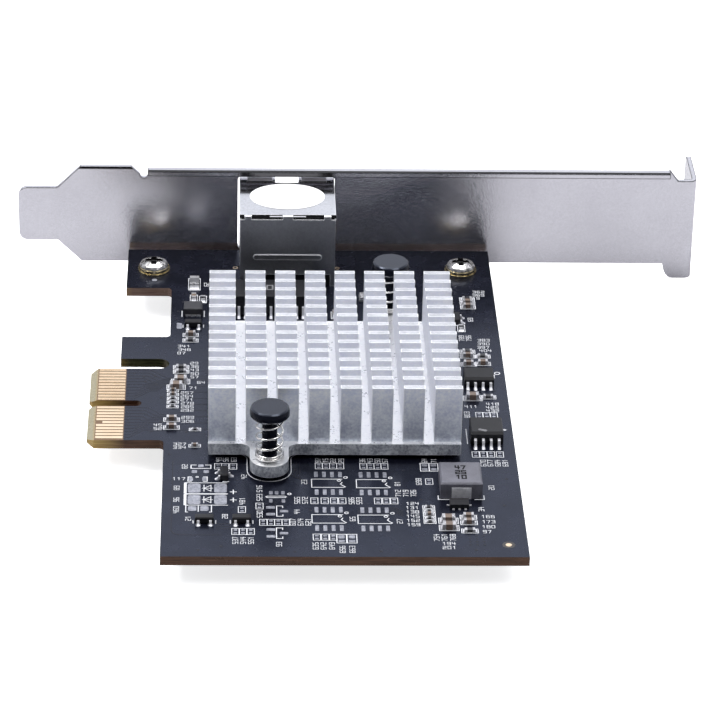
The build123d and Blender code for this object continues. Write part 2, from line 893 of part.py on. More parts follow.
def jack_contact(index):
    """Sprung contact that rises from the port's floor towards its rear."""
    x = jack_centre_x + (index - (jack_contact_count - 1) / 2) * jack_contact_pitch
    front = housing_front_y - jack_contact_front_gap
    rear = front - jack_contact_run
    points = [
        (front, port_low_z),
        (front, port_low_z + jack_contact_thickness),
        (rear, port_low_z + jack_contact_lift + jack_contact_thickness),
        (rear, port_low_z + jack_contact_lift),
        (front - jack_contact_thickness, port_low_z),
    ]
    face = make_face(Plane.YZ * Polyline(*points, close=True))
    strip = extrude(face, jack_contact_width, dir=(1, 0, 0))
    return Pos(x - jack_contact_width / 2, 0, 0) * strip


def jack_contacts():
    """Eight sprung contacts and their tails through the board."""
    pieces = [jack_contact(index) for index in range(jack_contact_count)]
    for x, y in jack_tail_spots():
        pieces.append(rod(x, y, tail_diameter / 2, under_z - tail_reach, top_z))
    return pieces


def jack_label():
    """Blank oval label on the shield's top."""
    shape = Ellipse(label_length / 2, label_depth / 2)
    return Pos(jack_centre_x, key_to_rear_edge - label_setback, jack_top_z) * extrude(shape, label_thickness)


def fin_column_spans():
    """Left and right edge of each column of fins."""
    left = sink_near_x
    gaps = (fin_column_count - 1) * fin_channel_width
    inner = (sink_far_x - sink_near_x - gaps - 2 * outer_column_width) / (fin_column_count - 2)
    spans = []
    for index in range(fin_column_count):
        outer = index in (0, fin_column_count - 1)
        width = outer_column_width if outer else inner
        spans.append((left, left + width))
        left += width + fin_channel_width
    return spans


def heat_sink_base():
    """Base plate with one rounded lug at each of two opposite edges."""
    base = block(sink_near_x, sink_far_x, sink_front, sink_rear, sink_base_z, fin_floor_z)
    roots = []
    for (x, y), edge in zip(pin_spots, (sink_front, sink_rear)):
        inside = sink_base_thickness if edge == sink_front else -sink_base_thickness
        y_low = min(y, edge + inside)
        y_high = max(y, edge + inside)
        base += block(x - lug_radius, x + lug_radius, y_low, y_high, sink_base_z, fin_floor_z)
        base += rod(x, y, lug_radius, sink_base_z, fin_floor_z)
        roots += [(x - lug_radius, edge, None), (x + lug_radius, edge, None)]
    return fillet(edges_near(base, Axis.Z, roots, sink_standoff), lug_root_radius)


def heat_sink():
    """Finned heat sink: rows of fins along X, crossed by straight channels."""
    sink = heat_sink_base()
    first = sink_front + fin_front_setback
    fins = []
    for row in range(fin_row_count):
        y = first + row * fin_row_pitch
        for left, right in fin_column_spans():
            fins.append(block(left, right, y, y + fin_thickness, fin_floor_z, fin_top_z))
    sink = sink + fins
    for x, y in pin_spots:
        hole = pin_shaft_radius + pin_hole_clearance
        sink -= rod(x, y, hole, sink_base_z - cut_overrun, fin_floor_z + cut_overrun)
        sink -= rod(x, y, pin_clear_radius(), fin_floor_z, fin_top_z + cut_overrun)
    return sink


def pin_clear_radius():
    """Room that the spring and the pin's head need between the fins."""
    return max(spring_diameter / 2, pin_head_radius) + pin_hole_clearance


def push_pin(x, y):
    """Plastic push pin with a split barb under the board."""
    top = top_z + pin_head_height
    head_low = top - pin_head_thickness
    neck_low = head_low - pin_neck_height
    barb_top = under_z - pin_board_clearance
    barb_low = barb_top - pin_barb_height
    tip = barb_low - pin_tip_height
    points = [
        (0, tip),
        (pin_tip_radius, tip),
        (pin_barb_radius, barb_low),
        (pin_barb_radius, barb_top),
        (pin_shaft_radius, barb_top),
        (pin_shaft_radius, neck_low),
        (pin_neck_radius, head_low),
        (pin_head_radius, head_low + pin_head_bevel),
        (pin_head_radius, top - pin_side_drop),
        (pin_crown_radius, top - pin_crown_drop),
        (pin_face_radius, top),
        (0, top),
    ]
    pin = turned(points, x, y)
    half = pin_slit_width / 2
    reach = pin_barb_radius + cut_overrun
    pin -= block(x - half, x + half, y - reach, y + reach, tip - cut_overrun, under_z)
    return pin


def pin_spring(x, y):
    """Coil spring between the lug and the push pin's head: closed coils at its foot, then open ones."""
    wire = spring_wire / 2
    radius = spring_diameter / 2 - wire
    low = fin_floor_z + spring_seat_gap + wire
    high = top_z + pin_head_height - pin_head_thickness - spring_top_gap
    open_pitch = (high - low - spring_closed_coils * spring_closed_pitch) / spring_open_coils
    points = []
    for step in range((spring_closed_coils + spring_open_coils) * spring_steps + 1):
        turns = step / spring_steps
        closed = min(turns, spring_closed_coils)
        z = low + closed * spring_closed_pitch + (turns - closed) * open_pitch
        angle = 2 * math.pi * turns
        points.append((radius * math.cos(angle), radius * math.sin(angle), z))
    path = Spline(*points)
    section = Plane(origin=path @ 0, z_dir=path % 0) * Circle(wire)
    return Pos(x, y, 0) * sweep(section, path=path)


def thermal_pad():
    """Thin pad between the controller and the heat sink."""
    low = top_z + controller_substrate + controller_mould
    half = thermal_pad_size / 2
    x = sink_centre_x
    return block(x - half, x + half, sink_centre_y - half, sink_centre_y + half, low, sink_base_z)


def controller_layer(inset, low, high):
    """Square layer of the controller, centred under the heat sink."""
    half = controller_size / 2 - inset
    x = sink_centre_x
    return block(x - half, x + half, sink_centre_y - half, sink_centre_y + half, low, high)


def gull_lead(x, side, edge, span, width, foot, height):
    """Bent lead from the side of a package down to the board."""
    outer = side * span / 2
    inner = side * edge
    knee = outer - side * foot
    mid = package_standoff + height * lead_shoulder_share
    points = [
        (outer, 0),
        (knee, 0),
        (knee - side * lead_thickness, mid - lead_thickness / 2),
        (inner, mid - lead_thickness / 2),
        (inner, mid + lead_thickness / 2),
        (knee, mid + lead_thickness / 2),
        (knee + side * lead_thickness, lead_thickness),
        (outer, lead_thickness),
    ]
    face = make_face(Plane.YZ * Polyline(*points, close=True))
    return Pos(x - width / 2, 0, 0) * extrude(face, width, dir=(1, 0, 0))


def moulded_body(length, depth, height, standoff, bevel):
    """Moulded body standing on the board at the origin, with eased upper edges."""
    body = block(-length / 2, length / 2, -depth / 2, depth / 2, standoff, standoff + height)
    return chamfer(body.faces().sort_by(Axis.Z)[-1].edges(), bevel)


def eight_lead_body(length, depth, height):
    """Body of an eight-lead package, with the wide bevel along its first pins."""
    body = moulded_body(length, depth, height, package_standoff, package_edge_bevel)
    side = package_pin_bevel * math.sqrt(2)
    corner = Box(length + cut_overrun, side, side)
    return body - Pos(0, -depth / 2, package_standoff + height) * Rot(45, 0, 0) * corner


def placed(solid, place_share, turn=0):
    """Solid made at the origin, turned and set down on the board."""
    x, y = on_board(place_share)
    return Pos(x, y, top_z) * Rot(0, 0, turn) * solid


def package_leads(length, depth, height, span):
    """Both rows of leads of an eight-lead package."""
    leads = []
    for side in (-1, 1):
        for index in range(package_pins):
            x = (index - (package_pins - 1) / 2) * package_pitch
            leads.append(gull_lead(x, side, depth / 2, span, lead_width, lead_foot, height))
    return leads


def small_packages():
    """Bodies and leads of the two eight-lead memory and switch packages."""
    narrow = (narrow_package_length, narrow_package_depth, narrow_package_height, narrow_package_span)
    wide = (wide_package_length, wide_package_depth, wide_package_height, wide_package_span)
    bodies = []
    leads = []
    for place_share, sizes in ((narrow_package_share, narrow), (wide_package_share, wide)):
        length, depth, height, span = sizes
        bodies.append(placed(eight_lead_body(length, depth, height), place_share))
        leads += [placed(lead, place_share) for lead in package_leads(length, depth, height, span)]
    return bodies, leads


def transistors():
    """Bodies and leads of the three-lead transistors."""
    bodies = []
    leads = []
    lead_places = [(-transistor_pitch / 2, -1), (transistor_pitch / 2, -1), (0, 1)]
    sizes = (transistor_length, transistor_depth, transistor_height)
    for *place_share, turn in transistor_places_shares:
        body = moulded_body(*sizes, package_standoff, package_edge_bevel)
        bodies.append(placed(body, place_share, turn))
        for x, side in lead_places:
            lead = gull_lead(
                x,
                side,
                transistor_depth / 2,
                transistor_span,
                transistor_lead_width,
                transistor_foot,
                transistor_height,
            )
            leads.append(placed(lead, place_share, turn))
    return bodies, leads


def transformer_module():
    """Body and leads of the line transformer module."""
    body = moulded_body(module_length, module_depth, module_height, module_standoff, package_edge_bevel)
    leads = []
    span = module_depth + 2 * (lead_foot + 2 * lead_thickness)
    for side in (-1, 1):
        for index in range(module_pin_count):
            x = (index - (module_pin_count - 1) / 2) * module_pin_pitch
            lead = gull_lead(x, side, module_depth / 2, span, lead_width, lead_foot, module_height)
            leads.append(placed(lead, module_share))
    return placed(body, module_share), leads


def power_inductor():
    """Moulded inductor core and its two wrapped terminals."""
    core = moulded_body(inductor_length, inductor_depth, inductor_height, 0, inductor_bevel)
    terminals = []
    half = inductor_terminal_width / 2
    for side in (-1, 1):
        edge = side * inductor_depth / 2
        outer = edge + side * inductor_terminal_thickness
        low_y = min(edge, outer)
        high_y = max(edge, outer)
        terminal = block(-half, half, low_y, high_y, 0, inductor_terminal_rise)
        terminals.append(placed(terminal, inductor_share))
    return placed(core, inductor_share), terminals


def regulator():
    """Small leadless regulator and its side pads."""
    body = block(
        -regulator_length / 2,
        regulator_length / 2,
        -regulator_depth / 2,
        regulator_depth / 2,
        0,
        regulator_height,
    )
    pads = []
    wide = regulator_pad_width / 2
    for side in (-1, 1):
        edge = side * regulator_depth / 2
        outer = edge + side * regulator_pad_reach
        for step in (-1, 0, 1):
            x = step * regulator_pad_pitch
            pad = block(x - wide, x + wide, min(edge, outer), max(edge, outer), 0, regulator_pad_thickness)
            pads.append(placed(pad, regulator_share))
        end = side * regulator_length / 2
        far = end + side * regulator_pad_reach
        pad = block(min(end, far), max(end, far), -wide, wide, 0, regulator_pad_thickness)
        pads.append(placed(pad, regulator_share))
    return placed(body, regulator_share), pads


def filter_inductor():
    """Small square inductor with a terminal strip at each end."""
    body = moulded_body(filter_length, filter_depth, filter_height, 0, package_edge_bevel)
    strips = []
    half = filter_terminal_width / 2
    for side in (-1, 1):
        edge = side * filter_depth / 2
        outer = edge + side * filter_terminal_reach
        strip = block(-half, half, min(edge, outer), max(edge, outer), 0, filter_terminal_rise)
        strips.append(placed(strip, filter_share))
    return placed(body, filter_share), strips


def chip_part(length, width, height, turn, place_share):
    """Body and two metal ends of one chip part."""
    end = length * chip_end_share
    inner = length / 2 - end
    half = width / 2
    inset = chip_body_inset
    body = block(-inner, inner, inset - half, half - inset, inset, height - inset)
    ends = [
        block(inner, length / 2, -half, half, 0, height),
        block(-length / 2, -inner, -half, half, 0, height),
    ]
    return placed(body, place_share, turn), [placed(piece, place_share, turn) for piece in ends]


def chip_parts(places_shares, height_share):
    """All bodies and ends of one kind of chip part."""
    cases = {"small": small_case, "medium": medium_case, "large": large_case}
    bodies = []
    ends = []
    for *place_share, case, along in places_shares:
        length, width, height = cases[case]
        turn = 90 if along == "y" else 0
        body, pair = chip_part(length, width, height * height_share, turn, place_share)
        bodies.append(body)
        ends += pair
    return bodies, ends


def surface_fuse():
    """Body and two metal ends of the input fuse."""
    return chip_part(fuse_length, fuse_width, fuse_height, 90, fuse_share)


def crystal():
    """Ceramic base and metal lid of the clock crystal."""
    half_x = crystal_length / 2
    half_y = crystal_width / 2
    base = block(-half_x, half_x, -half_y, half_y, 0, crystal_base)
    inset = crystal_lid_inset
    lid = block(inset - half_x, half_x - inset, inset - half_y, half_y - inset, crystal_base, crystal_height)
    return placed(base, crystal_share), placed(lid, crystal_share)


def main():
    """Every piece of the card, each in its own file."""
    os.makedirs("parts", exist_ok=True)
    write_node("circuit_board", circuit_board())
    write_node("edge_contacts", edge_contacts())
    write_node("mounting_bracket", mounting_bracket())
    write_node("bracket_screws", [bracket_screw(x, y) for x, y in screw_spots])
    flat_rings = [washer(x, y, flat_washer_diameter, top_z, flat_washer_thickness) for x, y in screw_spots]
    write_node("flat_washers", flat_rings)
    write_node("lock_washers", [lock_washer(x, y) for x, y in screw_spots])
    write_node("jack_shield", jack_shield())
    write_node("jack_housing", jack_housing())
    write_node("jack_contacts", jack_contacts())
    write_node("jack_light_pipes", [light_pipe_block(side) for side in (-1, 1)])
    write_node("jack_label", jack_label())
    write_node("heat_sink", heat_sink())
    write_node("push_pins", [push_pin(x, y) for x, y in pin_spots])
    write_node("pin_springs", [pin_spring(x, y) for x, y in pin_spots])
    write_node("thermal_pad", thermal_pad())
    mould_low = top_z + controller_substrate
    write_node("controller_substrate", controller_layer(0, top_z, mould_low))
    mould_high = mould_low + controller_mould
    write_node("controller_mould", controller_layer(controller_mould_inset, mould_low, mould_high))
    pairs = [
        ("transformer_body", "transformer_leads", transformer_module()),
        ("package_bodies", "package_leads", small_packages()),
        ("transistor_bodies", "transistor_leads", transistors()),
        ("power_inductor_core", "power_inductor_terminals", power_inductor()),
        ("regulator_body", "regulator_pads", regulator()),
        ("filter_inductor_body", "filter_inductor_terminals", filter_inductor()),
        ("capacitor_bodies", "capacitor_ends", chip_parts(capacitor_places_shares, 1)),
        ("resistor_bodies", "resistor_ends", chip_parts(resistor_places_shares, flat_case_height_share)),
        ("input_fuse_body", "input_fuse_ends", surface_fuse()),
        ("crystal_base", "crystal_lid", crystal()),
    ]
    for first_name, second_name, (first, second) in pairs:
        write_node(first_name, first)
        write_node(second_name, second)


main()
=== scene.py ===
import math

import bmesh
import bpy
from mathutils import Matrix, Vector

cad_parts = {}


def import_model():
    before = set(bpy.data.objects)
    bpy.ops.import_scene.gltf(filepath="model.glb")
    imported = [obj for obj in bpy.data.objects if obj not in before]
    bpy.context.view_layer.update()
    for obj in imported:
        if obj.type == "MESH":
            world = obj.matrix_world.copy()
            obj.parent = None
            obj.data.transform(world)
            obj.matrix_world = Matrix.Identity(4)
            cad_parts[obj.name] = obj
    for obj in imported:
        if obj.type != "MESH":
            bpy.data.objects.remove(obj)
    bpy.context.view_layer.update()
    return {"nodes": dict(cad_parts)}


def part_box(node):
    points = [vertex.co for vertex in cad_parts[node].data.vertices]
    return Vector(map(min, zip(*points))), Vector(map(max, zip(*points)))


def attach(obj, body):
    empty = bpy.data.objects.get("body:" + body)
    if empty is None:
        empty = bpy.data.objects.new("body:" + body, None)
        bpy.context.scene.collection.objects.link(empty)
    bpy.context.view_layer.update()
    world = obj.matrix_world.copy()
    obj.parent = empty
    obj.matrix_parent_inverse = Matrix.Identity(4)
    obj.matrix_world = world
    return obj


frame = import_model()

nodes = frame["nodes"]
scene = bpy.context.scene

# Layers are drawn in millimetres, shaders work in metres
MM = 0.001
BOARD_TOP = 0.785
BOARD_UNDER = -BOARD_TOP

# Strokes of the print, thin to bold
CELL_STROKE = 0.11
CHIP_STROKE = 0.12
RING_STROKE = 0.13
STROKE = 0.14
WIDE_STROKE = 0.15
BOLD_STROKE = 0.16

# Printed frame and pads of a small empty cell, and height of the printed numbers
cell_width = 1.12
cell_depth = 1.85
cell_pad_width = 0.55
cell_pad_depth = 0.45
cell_pad_out = 0.45
number_height = 0.80

# Eight-lead footprint: pitch and pads of the leads, half size of the printed outline
lead_pitch = 1.27
lead_pad_width = 0.6
lead_pad_depth = 1.7
lead_pad_out = 2.8
outline_half_width = 2.65
outline_half_depth = 1.3

# Solder under the board, and the jack's legs
tail_radius = 0.72
tail_drop = 0.85
leg_y = 49.9
leg_inset = 0.125
leg_radius = 1.35
leg_drop = 0.8

# Inner tabs of the shield's rear fold, from the jack's middle and rear
fold_tab_out = 2.02
fold_tab_back = 0.18
fold_tab_width = 2.2
fold_tab_depth = 0.34

# Line round the heat sink: lugs, their roots and the base
front_pin = (29.30, -22.2)
rear_pin = (50.25, 27.75)
lug_radius = 3.5
lug_root = 1.8
sink_line_inset = 0.5
sink_line_front = -16.8
sink_line_rear = 22.3

# Borders of the board's finishes, in metres: where each change starts and where it ends
bevel_tip_x = (0.00010, 0.00016)
bevel_ridge_x = (0.00085, 0.00115)
bevel_end_x = (0.00122, 0.00128)
tongue_side_x = (0.0012, 0.0062)
contact_end_x = (0.00590, 0.00594)
tongue_rear_y = (0.01240, 0.01244)
blank_tab_front_y = (0.012, 0.014)
blank_tab_rear_y = (0.028, 0.030)
screw_tab_y = (0.0405, 0.0415)
rear_edge_y = (0.060, 0.064)

# Borders on the heat sink
sink_base_z = (0.00355, 0.00375)
fin_climb_z = (0.003, 0.013)
fin_top_z = (0.0128, 0.0131)
fin_front_y = (-0.0177, -0.0174)

# Borders on the bracket and its lip
dark_edge_z = (0.0115, 0.0117)
lip_under_z = (0.0145, 0.0146)
lip_top_z = (0.0155, 0.0157)
lip_line_z = (0.0157, 0.0159)
lip_near_y = (0.0560, 0.0561)
lip_half_y = (0.0571, 0.0573)
lip_far_y = (0.0588, 0.0589)
left_part_x = (0.0084, 0.0086)
jack_left_x = (0.0243, 0.0253)
jack_right_x = (0.0408, 0.0418)

# Borders on the shield and in the screws
rear_facing = (-0.9, -0.5)
slot_wall_y = (0.0431, 0.0433)
finger_z = (0.01425, 0.01430)
recess_z = (0.0019, 0.0021)


# Shader helpers

def new_material(name):
    """Empty node material with a principled shader on its output."""
    made = bpy.data.materials.new(name)
    made.use_nodes = True
    tree = made.node_tree
    tree.nodes.clear()
    out = tree.nodes.new("ShaderNodeOutputMaterial")
    shader = tree.nodes.new("ShaderNodeBsdfPrincipled")
    tree.links.new(shader.outputs[0], out.inputs[0])
    return made, tree, shader


def put(tree, socket, value):
    """Number or colour on a socket, or a link into it."""
    if isinstance(value, tuple):
        socket.default_value = (*value, 1.0)
    elif isinstance(value, (int, float)):
        socket.default_value = value
    else:
        tree.links.new(value, socket)


def dress(tree, shader, colour, rough, normal, metal=0.0, specular=0.5, tint=(1.0, 1.0, 1.0), coat=0.0):
    """Colour, gloss and relief of a principled shader."""
    for name, value in (("Base Color", colour), ("Roughness", rough), ("Normal", normal), ("Metallic", metal),
                        ("Specular IOR Level", specular), ("Specular Tint", tint), ("Coat Weight", coat)):
        put(tree, shader.inputs[name], value)


def coords(tree, stretch=(1, 1, 1)):
    """Object coordinates, in metres, stretched along each axis."""
    source = tree.nodes.new("ShaderNodeTexCoord")
    mapping = tree.nodes.new("ShaderNodeMapping")
    mapping.inputs["Scale"].default_value = stretch
    tree.links.new(source.outputs["Object"], mapping.inputs["Vector"])
    return mapping.outputs[0]


def noise(tree, scale, detail=3.0, rough=0.5, stretch=(1, 1, 1)):
    """Noise value from 0 to 1."""
    node = tree.nodes.new("ShaderNodeTexNoise")
    node.inputs["Scale"].default_value = scale
    node.inputs["Detail"].default_value = detail
    node.inputs["Roughness"].default_value = rough
    tree.links.new(coords(tree, stretch), node.inputs["Vector"])
    return node.outputs["Fac"]


def spread(tree, value, low, high, from_low=0.0, from_high=1.0):
    """Value moved from one range to another, and held at its ends."""
    node = tree.nodes.new("ShaderNodeMapRange")
    node.inputs["From Min"].default_value = from_low
    node.inputs["From Max"].default_value = from_high
    node.inputs["To Min"].default_value = low
    node.inputs["To Max"].default_value = high
    tree.links.new(value, node.inputs["Value"])
    return node.outputs[0]


def rises(tree, value, start, end):
    """Zero up to the start, one from the end on."""
    return spread(tree, value, 0.0, 1.0, start, end)


def falls(tree, value, start, end):
    """One up to the start, zero from the end on."""
    return spread(tree, value, 1.0, 0.0, start, end)


def maths(tree, kind, first, second=0.0):
    """One step of arithmetic on sockets or numbers."""
    node = tree.nodes.new("ShaderNodeMath")
    node.operation = kind
    put(tree, node.inputs[0], first)
    put(tree, node.inputs[1], second)
    return node.outputs[0]


def all_of(tree, *masks):
    """Where every mask holds."""
    made = masks[0]
    for mask in masks[1:]:
        made = maths(tree, "MULTIPLY", made, mask)
    return made


def weigh(tree, first, first_share, second, second_share):
    """Sum of two values, each times its share."""
    return maths(tree, "ADD", maths(tree, "MULTIPLY", first, first_share),
                 maths(tree, "MULTIPLY", second, second_share))


def blend(tree, factor, low, high):
    """Colour between two colours or sockets."""
    node = tree.nodes.new("ShaderNodeMix")
    node.data_type = "RGBA"
    node.clamp_factor = True
    tree.links.new(factor, node.inputs["Factor"])
    put(tree, node.inputs[6], low)
    put(tree, node.inputs[7], high)
    return node.outputs[2]


def bump(tree, height, strength, distance, radius=None):
    """Bumped normal, on edges eased by the given radius."""
    node = tree.nodes.new("ShaderNodeBump")
    node.inputs["Strength"].default_value = strength
    node.inputs["Distance"].default_value = distance
    tree.links.new(height, node.inputs["Height"])
    if radius is not None:
        bevel = tree.nodes.new("ShaderNodeBevel")
        bevel.samples = 4
        bevel.inputs["Radius"].default_value = radius
        tree.links.new(bevel.outputs[0], node.inputs["Normal"])
    return node.outputs[0]


def rim(tree, radius, low=0.90, high=0.995):
    """Where the surface lies within the radius of an edge."""
    bevel = tree.nodes.new("ShaderNodeBevel")
    bevel.samples = 6
    bevel.inputs["Radius"].default_value = radius
    flat = tree.nodes.new("ShaderNodeNewGeometry")
    dot = tree.nodes.new("ShaderNodeVectorMath")
    dot.operation = "DOT_PRODUCT"
    tree.links.new(bevel.outputs[0], dot.inputs[0])
    tree.links.new(flat.outputs["Normal"], dot.inputs[1])
    return falls(tree, dot.outputs["Value"], low, high)


def axis_value(tree, axis, kind="Position"):
    """One coordinate of the place or of the true normal."""
    if kind == "Position":
        source = tree.nodes.new("ShaderNodeTexCoord")
        out = source.outputs["Object"]
    else:
        source = tree.nodes.new("ShaderNodeNewGeometry")
        out = source.outputs["True Normal"]
    split = tree.nodes.new("ShaderNodeSeparateXYZ")
    tree.links.new(out, split.inputs[0])
    return split.outputs[axis]


def facing_up(tree):
    """One on level faces, zero on upright ones."""
    return rises(tree, maths(tree, "ABSOLUTE", axis_value(tree, 2, "Normal")), 0.4, 0.6)


def tones(tree, patch, grain):
    """Patchy value with a fine grain, and the grain alone."""
    patches = noise(tree, patch, 5.0, 0.6)
    fine = noise(tree, grain, 3.0, 0.6)
    return rises(tree, weigh(tree, patches, 0.5, fine, 0.5), 0.38, 0.62), fine


# Finishes

def surface(name, base, dark, rough, metal=0.0, grain=2500.0, grain_depth=0.00001, grain_strength=0.2,
            patch=120.0, edge=0.00005, specular=0.5, coat=0.0):
    """Material with patchy colour and roughness, and a fine grain in relief."""
    made, tree, shader = new_material(name)
    patches = noise(tree, patch, 5.0, 0.6)
    fine = noise(tree, grain, 3.0, 0.55)
    mixed = weigh(tree, patches, 0.6, fine, 0.4)
    colour = blend(tree, rises(tree, mixed, 0.32, 0.68), dark, base)
    gloss = spread(tree, mixed, *rough, 0.3, 0.7)
    relief = bump(tree, fine, grain_strength, grain_depth, radius=edge)
    dress(tree, shader, colour, gloss, relief, metal, specular, coat=coat)
    return made


def brushed(name, base, dark, rough, along, strength=0.25, edge=0.00006, patch=45.0):
    """Metal with fine marks along one axis, smudges and bright edges."""
    made, tree, shader = new_material(name)
    stretch = [1.0, 1.0, 1.0]
    stretch[along] = 0.03
    lines = noise(tree, 3600.0, 3.0, 0.6, tuple(stretch))
    specks = noise(tree, 2700.0, 2.0, 0.5)
    smudge = noise(tree, patch, 5.0, 0.62)
    tone = rises(tree, weigh(tree, smudge, 0.55, lines, 0.45), 0.35, 0.65)
    height = weigh(tree, lines, 0.7, specks, 0.3)
    dress(tree, shader, blend(tree, tone, dark, base), spread(tree, tone, *rough),
          bump(tree, height, strength, 0.000006, radius=edge), metal=1.0)
    return made


def solder_mask():
    """Dark mask over the laminate, bare brown laminate on cut edges and pale on the bevel."""
    made, tree, shader = new_material("solder_mask")
    along = axis_value(tree, 0)
    deep = axis_value(tree, 1)
    flat = facing_up(tree)
    patches = noise(tree, 260.0, 4.0, 0.6)
    fine = noise(tree, 5200.0, 2.0, 0.5)
    plies = noise(tree, 900.0, 3.0, 0.6, (0.25, 0.25, 6.0))
    weave = maths(tree, "MULTIPLY", maths(tree, "SINE", maths(tree, "MULTIPLY", along, 10500.0)),
                  maths(tree, "SINE", maths(tree, "MULTIPLY", deep, 9300.0)))

    ply = rises(tree, plies, 0.35, 0.65)
    laminate = blend(tree, ply, (0.024, 0.009, 0.005), (0.085, 0.040, 0.024))
    worn = blend(tree, ply, (0.070, 0.040, 0.032), (0.150, 0.098, 0.080))
    warm = blend(tree, ply, (0.10, 0.032, 0.010), (0.30, 0.12, 0.035))
    green = blend(tree, ply, (0.012, 0.014, 0.006), (0.05, 0.055, 0.022))
    gold_side = blend(tree, rises(tree, plies, 0.3, 0.7), (0.30, 0.19, 0.06), (0.54, 0.39, 0.13))
    blank_tab = all_of(tree, rises(tree, deep, *blank_tab_front_y), falls(tree, deep, *blank_tab_rear_y))
    side = blend(tree, rises(tree, deep, *screw_tab_y), laminate, worn)
    side = blend(tree, rises(tree, deep, *rear_edge_y), side, warm)
    side = blend(tree, blank_tab, side, green)
    side = blend(tree, falls(tree, along, *tongue_side_x), side, gold_side)

    speck = rises(tree, fine, 0.3, 0.7)
    mask = blend(tree, rises(tree, patches, 0.35, 0.65), (0.0022, 0.0024, 0.0050), (0.0045, 0.0050, 0.0095))
    bare = blend(tree, speck, (0.110, 0.062, 0.024), (0.175, 0.105, 0.048))
    pale = blend(tree, speck, (0.21, 0.185, 0.11), (0.30, 0.27, 0.175))
    golden = blend(tree, speck, (0.22, 0.165, 0.075), (0.32, 0.25, 0.13))
    bevel = blend(tree, rises(tree, along, *bevel_ridge_x), pale, golden)
    bare = blend(tree, falls(tree, along, *bevel_end_x), bare, bevel)
    tongue = all_of(tree, falls(tree, along, *contact_end_x), falls(tree, deep, *tongue_rear_y))
    colour = blend(tree, flat, side, blend(tree, tongue, mask, bare))
    colour = blend(tree, all_of(tree, falls(tree, along, *bevel_tip_x), tongue), colour, pale)

    relief = bump(tree, weigh(tree, fine, 0.7, weave, 0.12), 0.25, 0.00001)
    dress(tree, shader, colour, spread(tree, patches, 0.22, 0.30, 0.3, 0.7), relief,
          tint=blend(tree, flat, (1.0, 0.75, 0.60), (0.45, 0.58, 1.0)))
    return made


def sink_metal():
    """Cast and machined aluminium with grainy faces, painted as lit and shaded copies: painted shade on the
    front faces, deepest low down, fin tops painted duller than the channel floors, which are painted light,
    and painted highlights on the edges.
    """
    made, tree, shader = new_material("sink_aluminium")
    tone, fine = tones(tree, 420.0, 2600.0)
    level = facing_up(tree)
    height = axis_value(tree, 2)
    front = falls(tree, axis_value(tree, 1), *fin_front_y)
    side = blend(tree, tone, (0.86, 0.875, 0.95), (0.98, 0.985, 1.0))
    # Front faces painted darker as shade, darkest towards the bottom; the base's front painted darker still.
    front_low_shade = blend(tree, tone, (0.51, 0.545, 0.66), (0.86, 0.92, 1.0))
    front_high = blend(tree, tone, (0.74, 0.79, 0.92), (0.96, 0.98, 1.0))
    base_front_shade = blend(tree, tone, (0.36, 0.38, 0.43), (0.95, 0.98, 1.0))
    top = blend(tree, tone, (0.42, 0.43, 0.46), (0.56, 0.57, 0.61))
    # Channel floors painted lighter than the fin tops, as painted light.
    channel_lit = blend(tree, tone, (0.90, 0.91, 0.94), (0.99, 0.99, 1.0))
    face = blend(tree, front, side, blend(tree, rises(tree, height, *fin_climb_z), front_low_shade, front_high))
    face = blend(tree, all_of(tree, front, falls(tree, height, *sink_base_z)), face, base_front_shade)
    flat = blend(tree, rises(tree, height, *fin_top_z), channel_lit, top)
    # Edges painted as bright highlights.
    colour = blend(tree, rim(tree, 0.00028), blend(tree, level, face, flat), (0.97, 0.98, 1.0))
    smooth = all_of(tree, level, falls(tree, height, *fin_top_z))
    rough = maths(tree, "SUBTRACT", spread(tree, tone, 0.36, 0.50), maths(tree, "MULTIPLY", smooth, 0.10))
    dress(tree, shader, colour, rough, bump(tree, fine, 0.15, 0.00002, radius=0.00008), metal=0.7)
    return made


def plate_metal():
    """Satin nickel sheet with fine speckle; painted highlights on the folds, painted shadow under the lip
    over the jack, and a dark speckled band along the top edge painted as shade and dark reflection.
    """
    made, tree, shader = new_material("bracket_nickel")
    tone, fine = tones(tree, 60.0, 3400.0)
    # Edges painted as bright highlights.
    edges = rim(tree, 0.00022)
    level = facing_up(tree)
    upright = falls(tree, level, 0.0, 1.0)
    across = axis_value(tree, 0)
    depth = axis_value(tree, 1)
    height = axis_value(tree, 2)
    # Painted shadow under the lip, over the jack.
    over_jack = all_of(tree, rises(tree, across, *jack_left_x), falls(tree, across, *jack_right_x))
    shaded = all_of(tree, upright, over_jack, rises(tree, height, *lip_under_z),
                    rises(tree, depth, *lip_near_y), falls(tree, depth, *lip_far_y))
    # Painted dark reflection on the near half of the lip's top.
    near_half = all_of(tree, level, rises(tree, height, *lip_top_z), falls(tree, depth, *lip_half_y))
    # Painted shade along the top of the left part's face.
    left_line = all_of(tree, upright, rises(tree, height, *lip_line_z), falls(tree, across, *left_part_x))
    # Painted shade round the upper edges, joined with the two bands above into one dark band.
    painted_dark_edge = all_of(tree, rim(tree, 0.00034, 0.94), rises(tree, height, *dark_edge_z))
    painted_dark_edge = maths(tree, "MAXIMUM", painted_dark_edge, maths(tree, "MAXIMUM", near_half, left_line))
    speckle = rises(tree, noise(tree, 3200.0, 2.0, 0.6), 0.55, 0.85)
    colour = blend(tree, tone, (0.595, 0.585, 0.625), (0.71, 0.70, 0.745))
    colour = blend(tree, edges, colour, (0.80, 0.80, 0.83))
    colour = blend(tree, shaded, colour, (0.07, 0.07, 0.075))
    colour = blend(tree, painted_dark_edge, colour, blend(tree, speckle, (0.001, 0.001, 0.0015), (0.14, 0.14, 0.15)))
    dress(tree, shader, colour, spread(tree, tone, 0.12, 0.22), bump(tree, fine, 0.6, 0.00005, radius=0.0001),
          metal=spread(tree, edges, 0.91, 0.60))
    return made


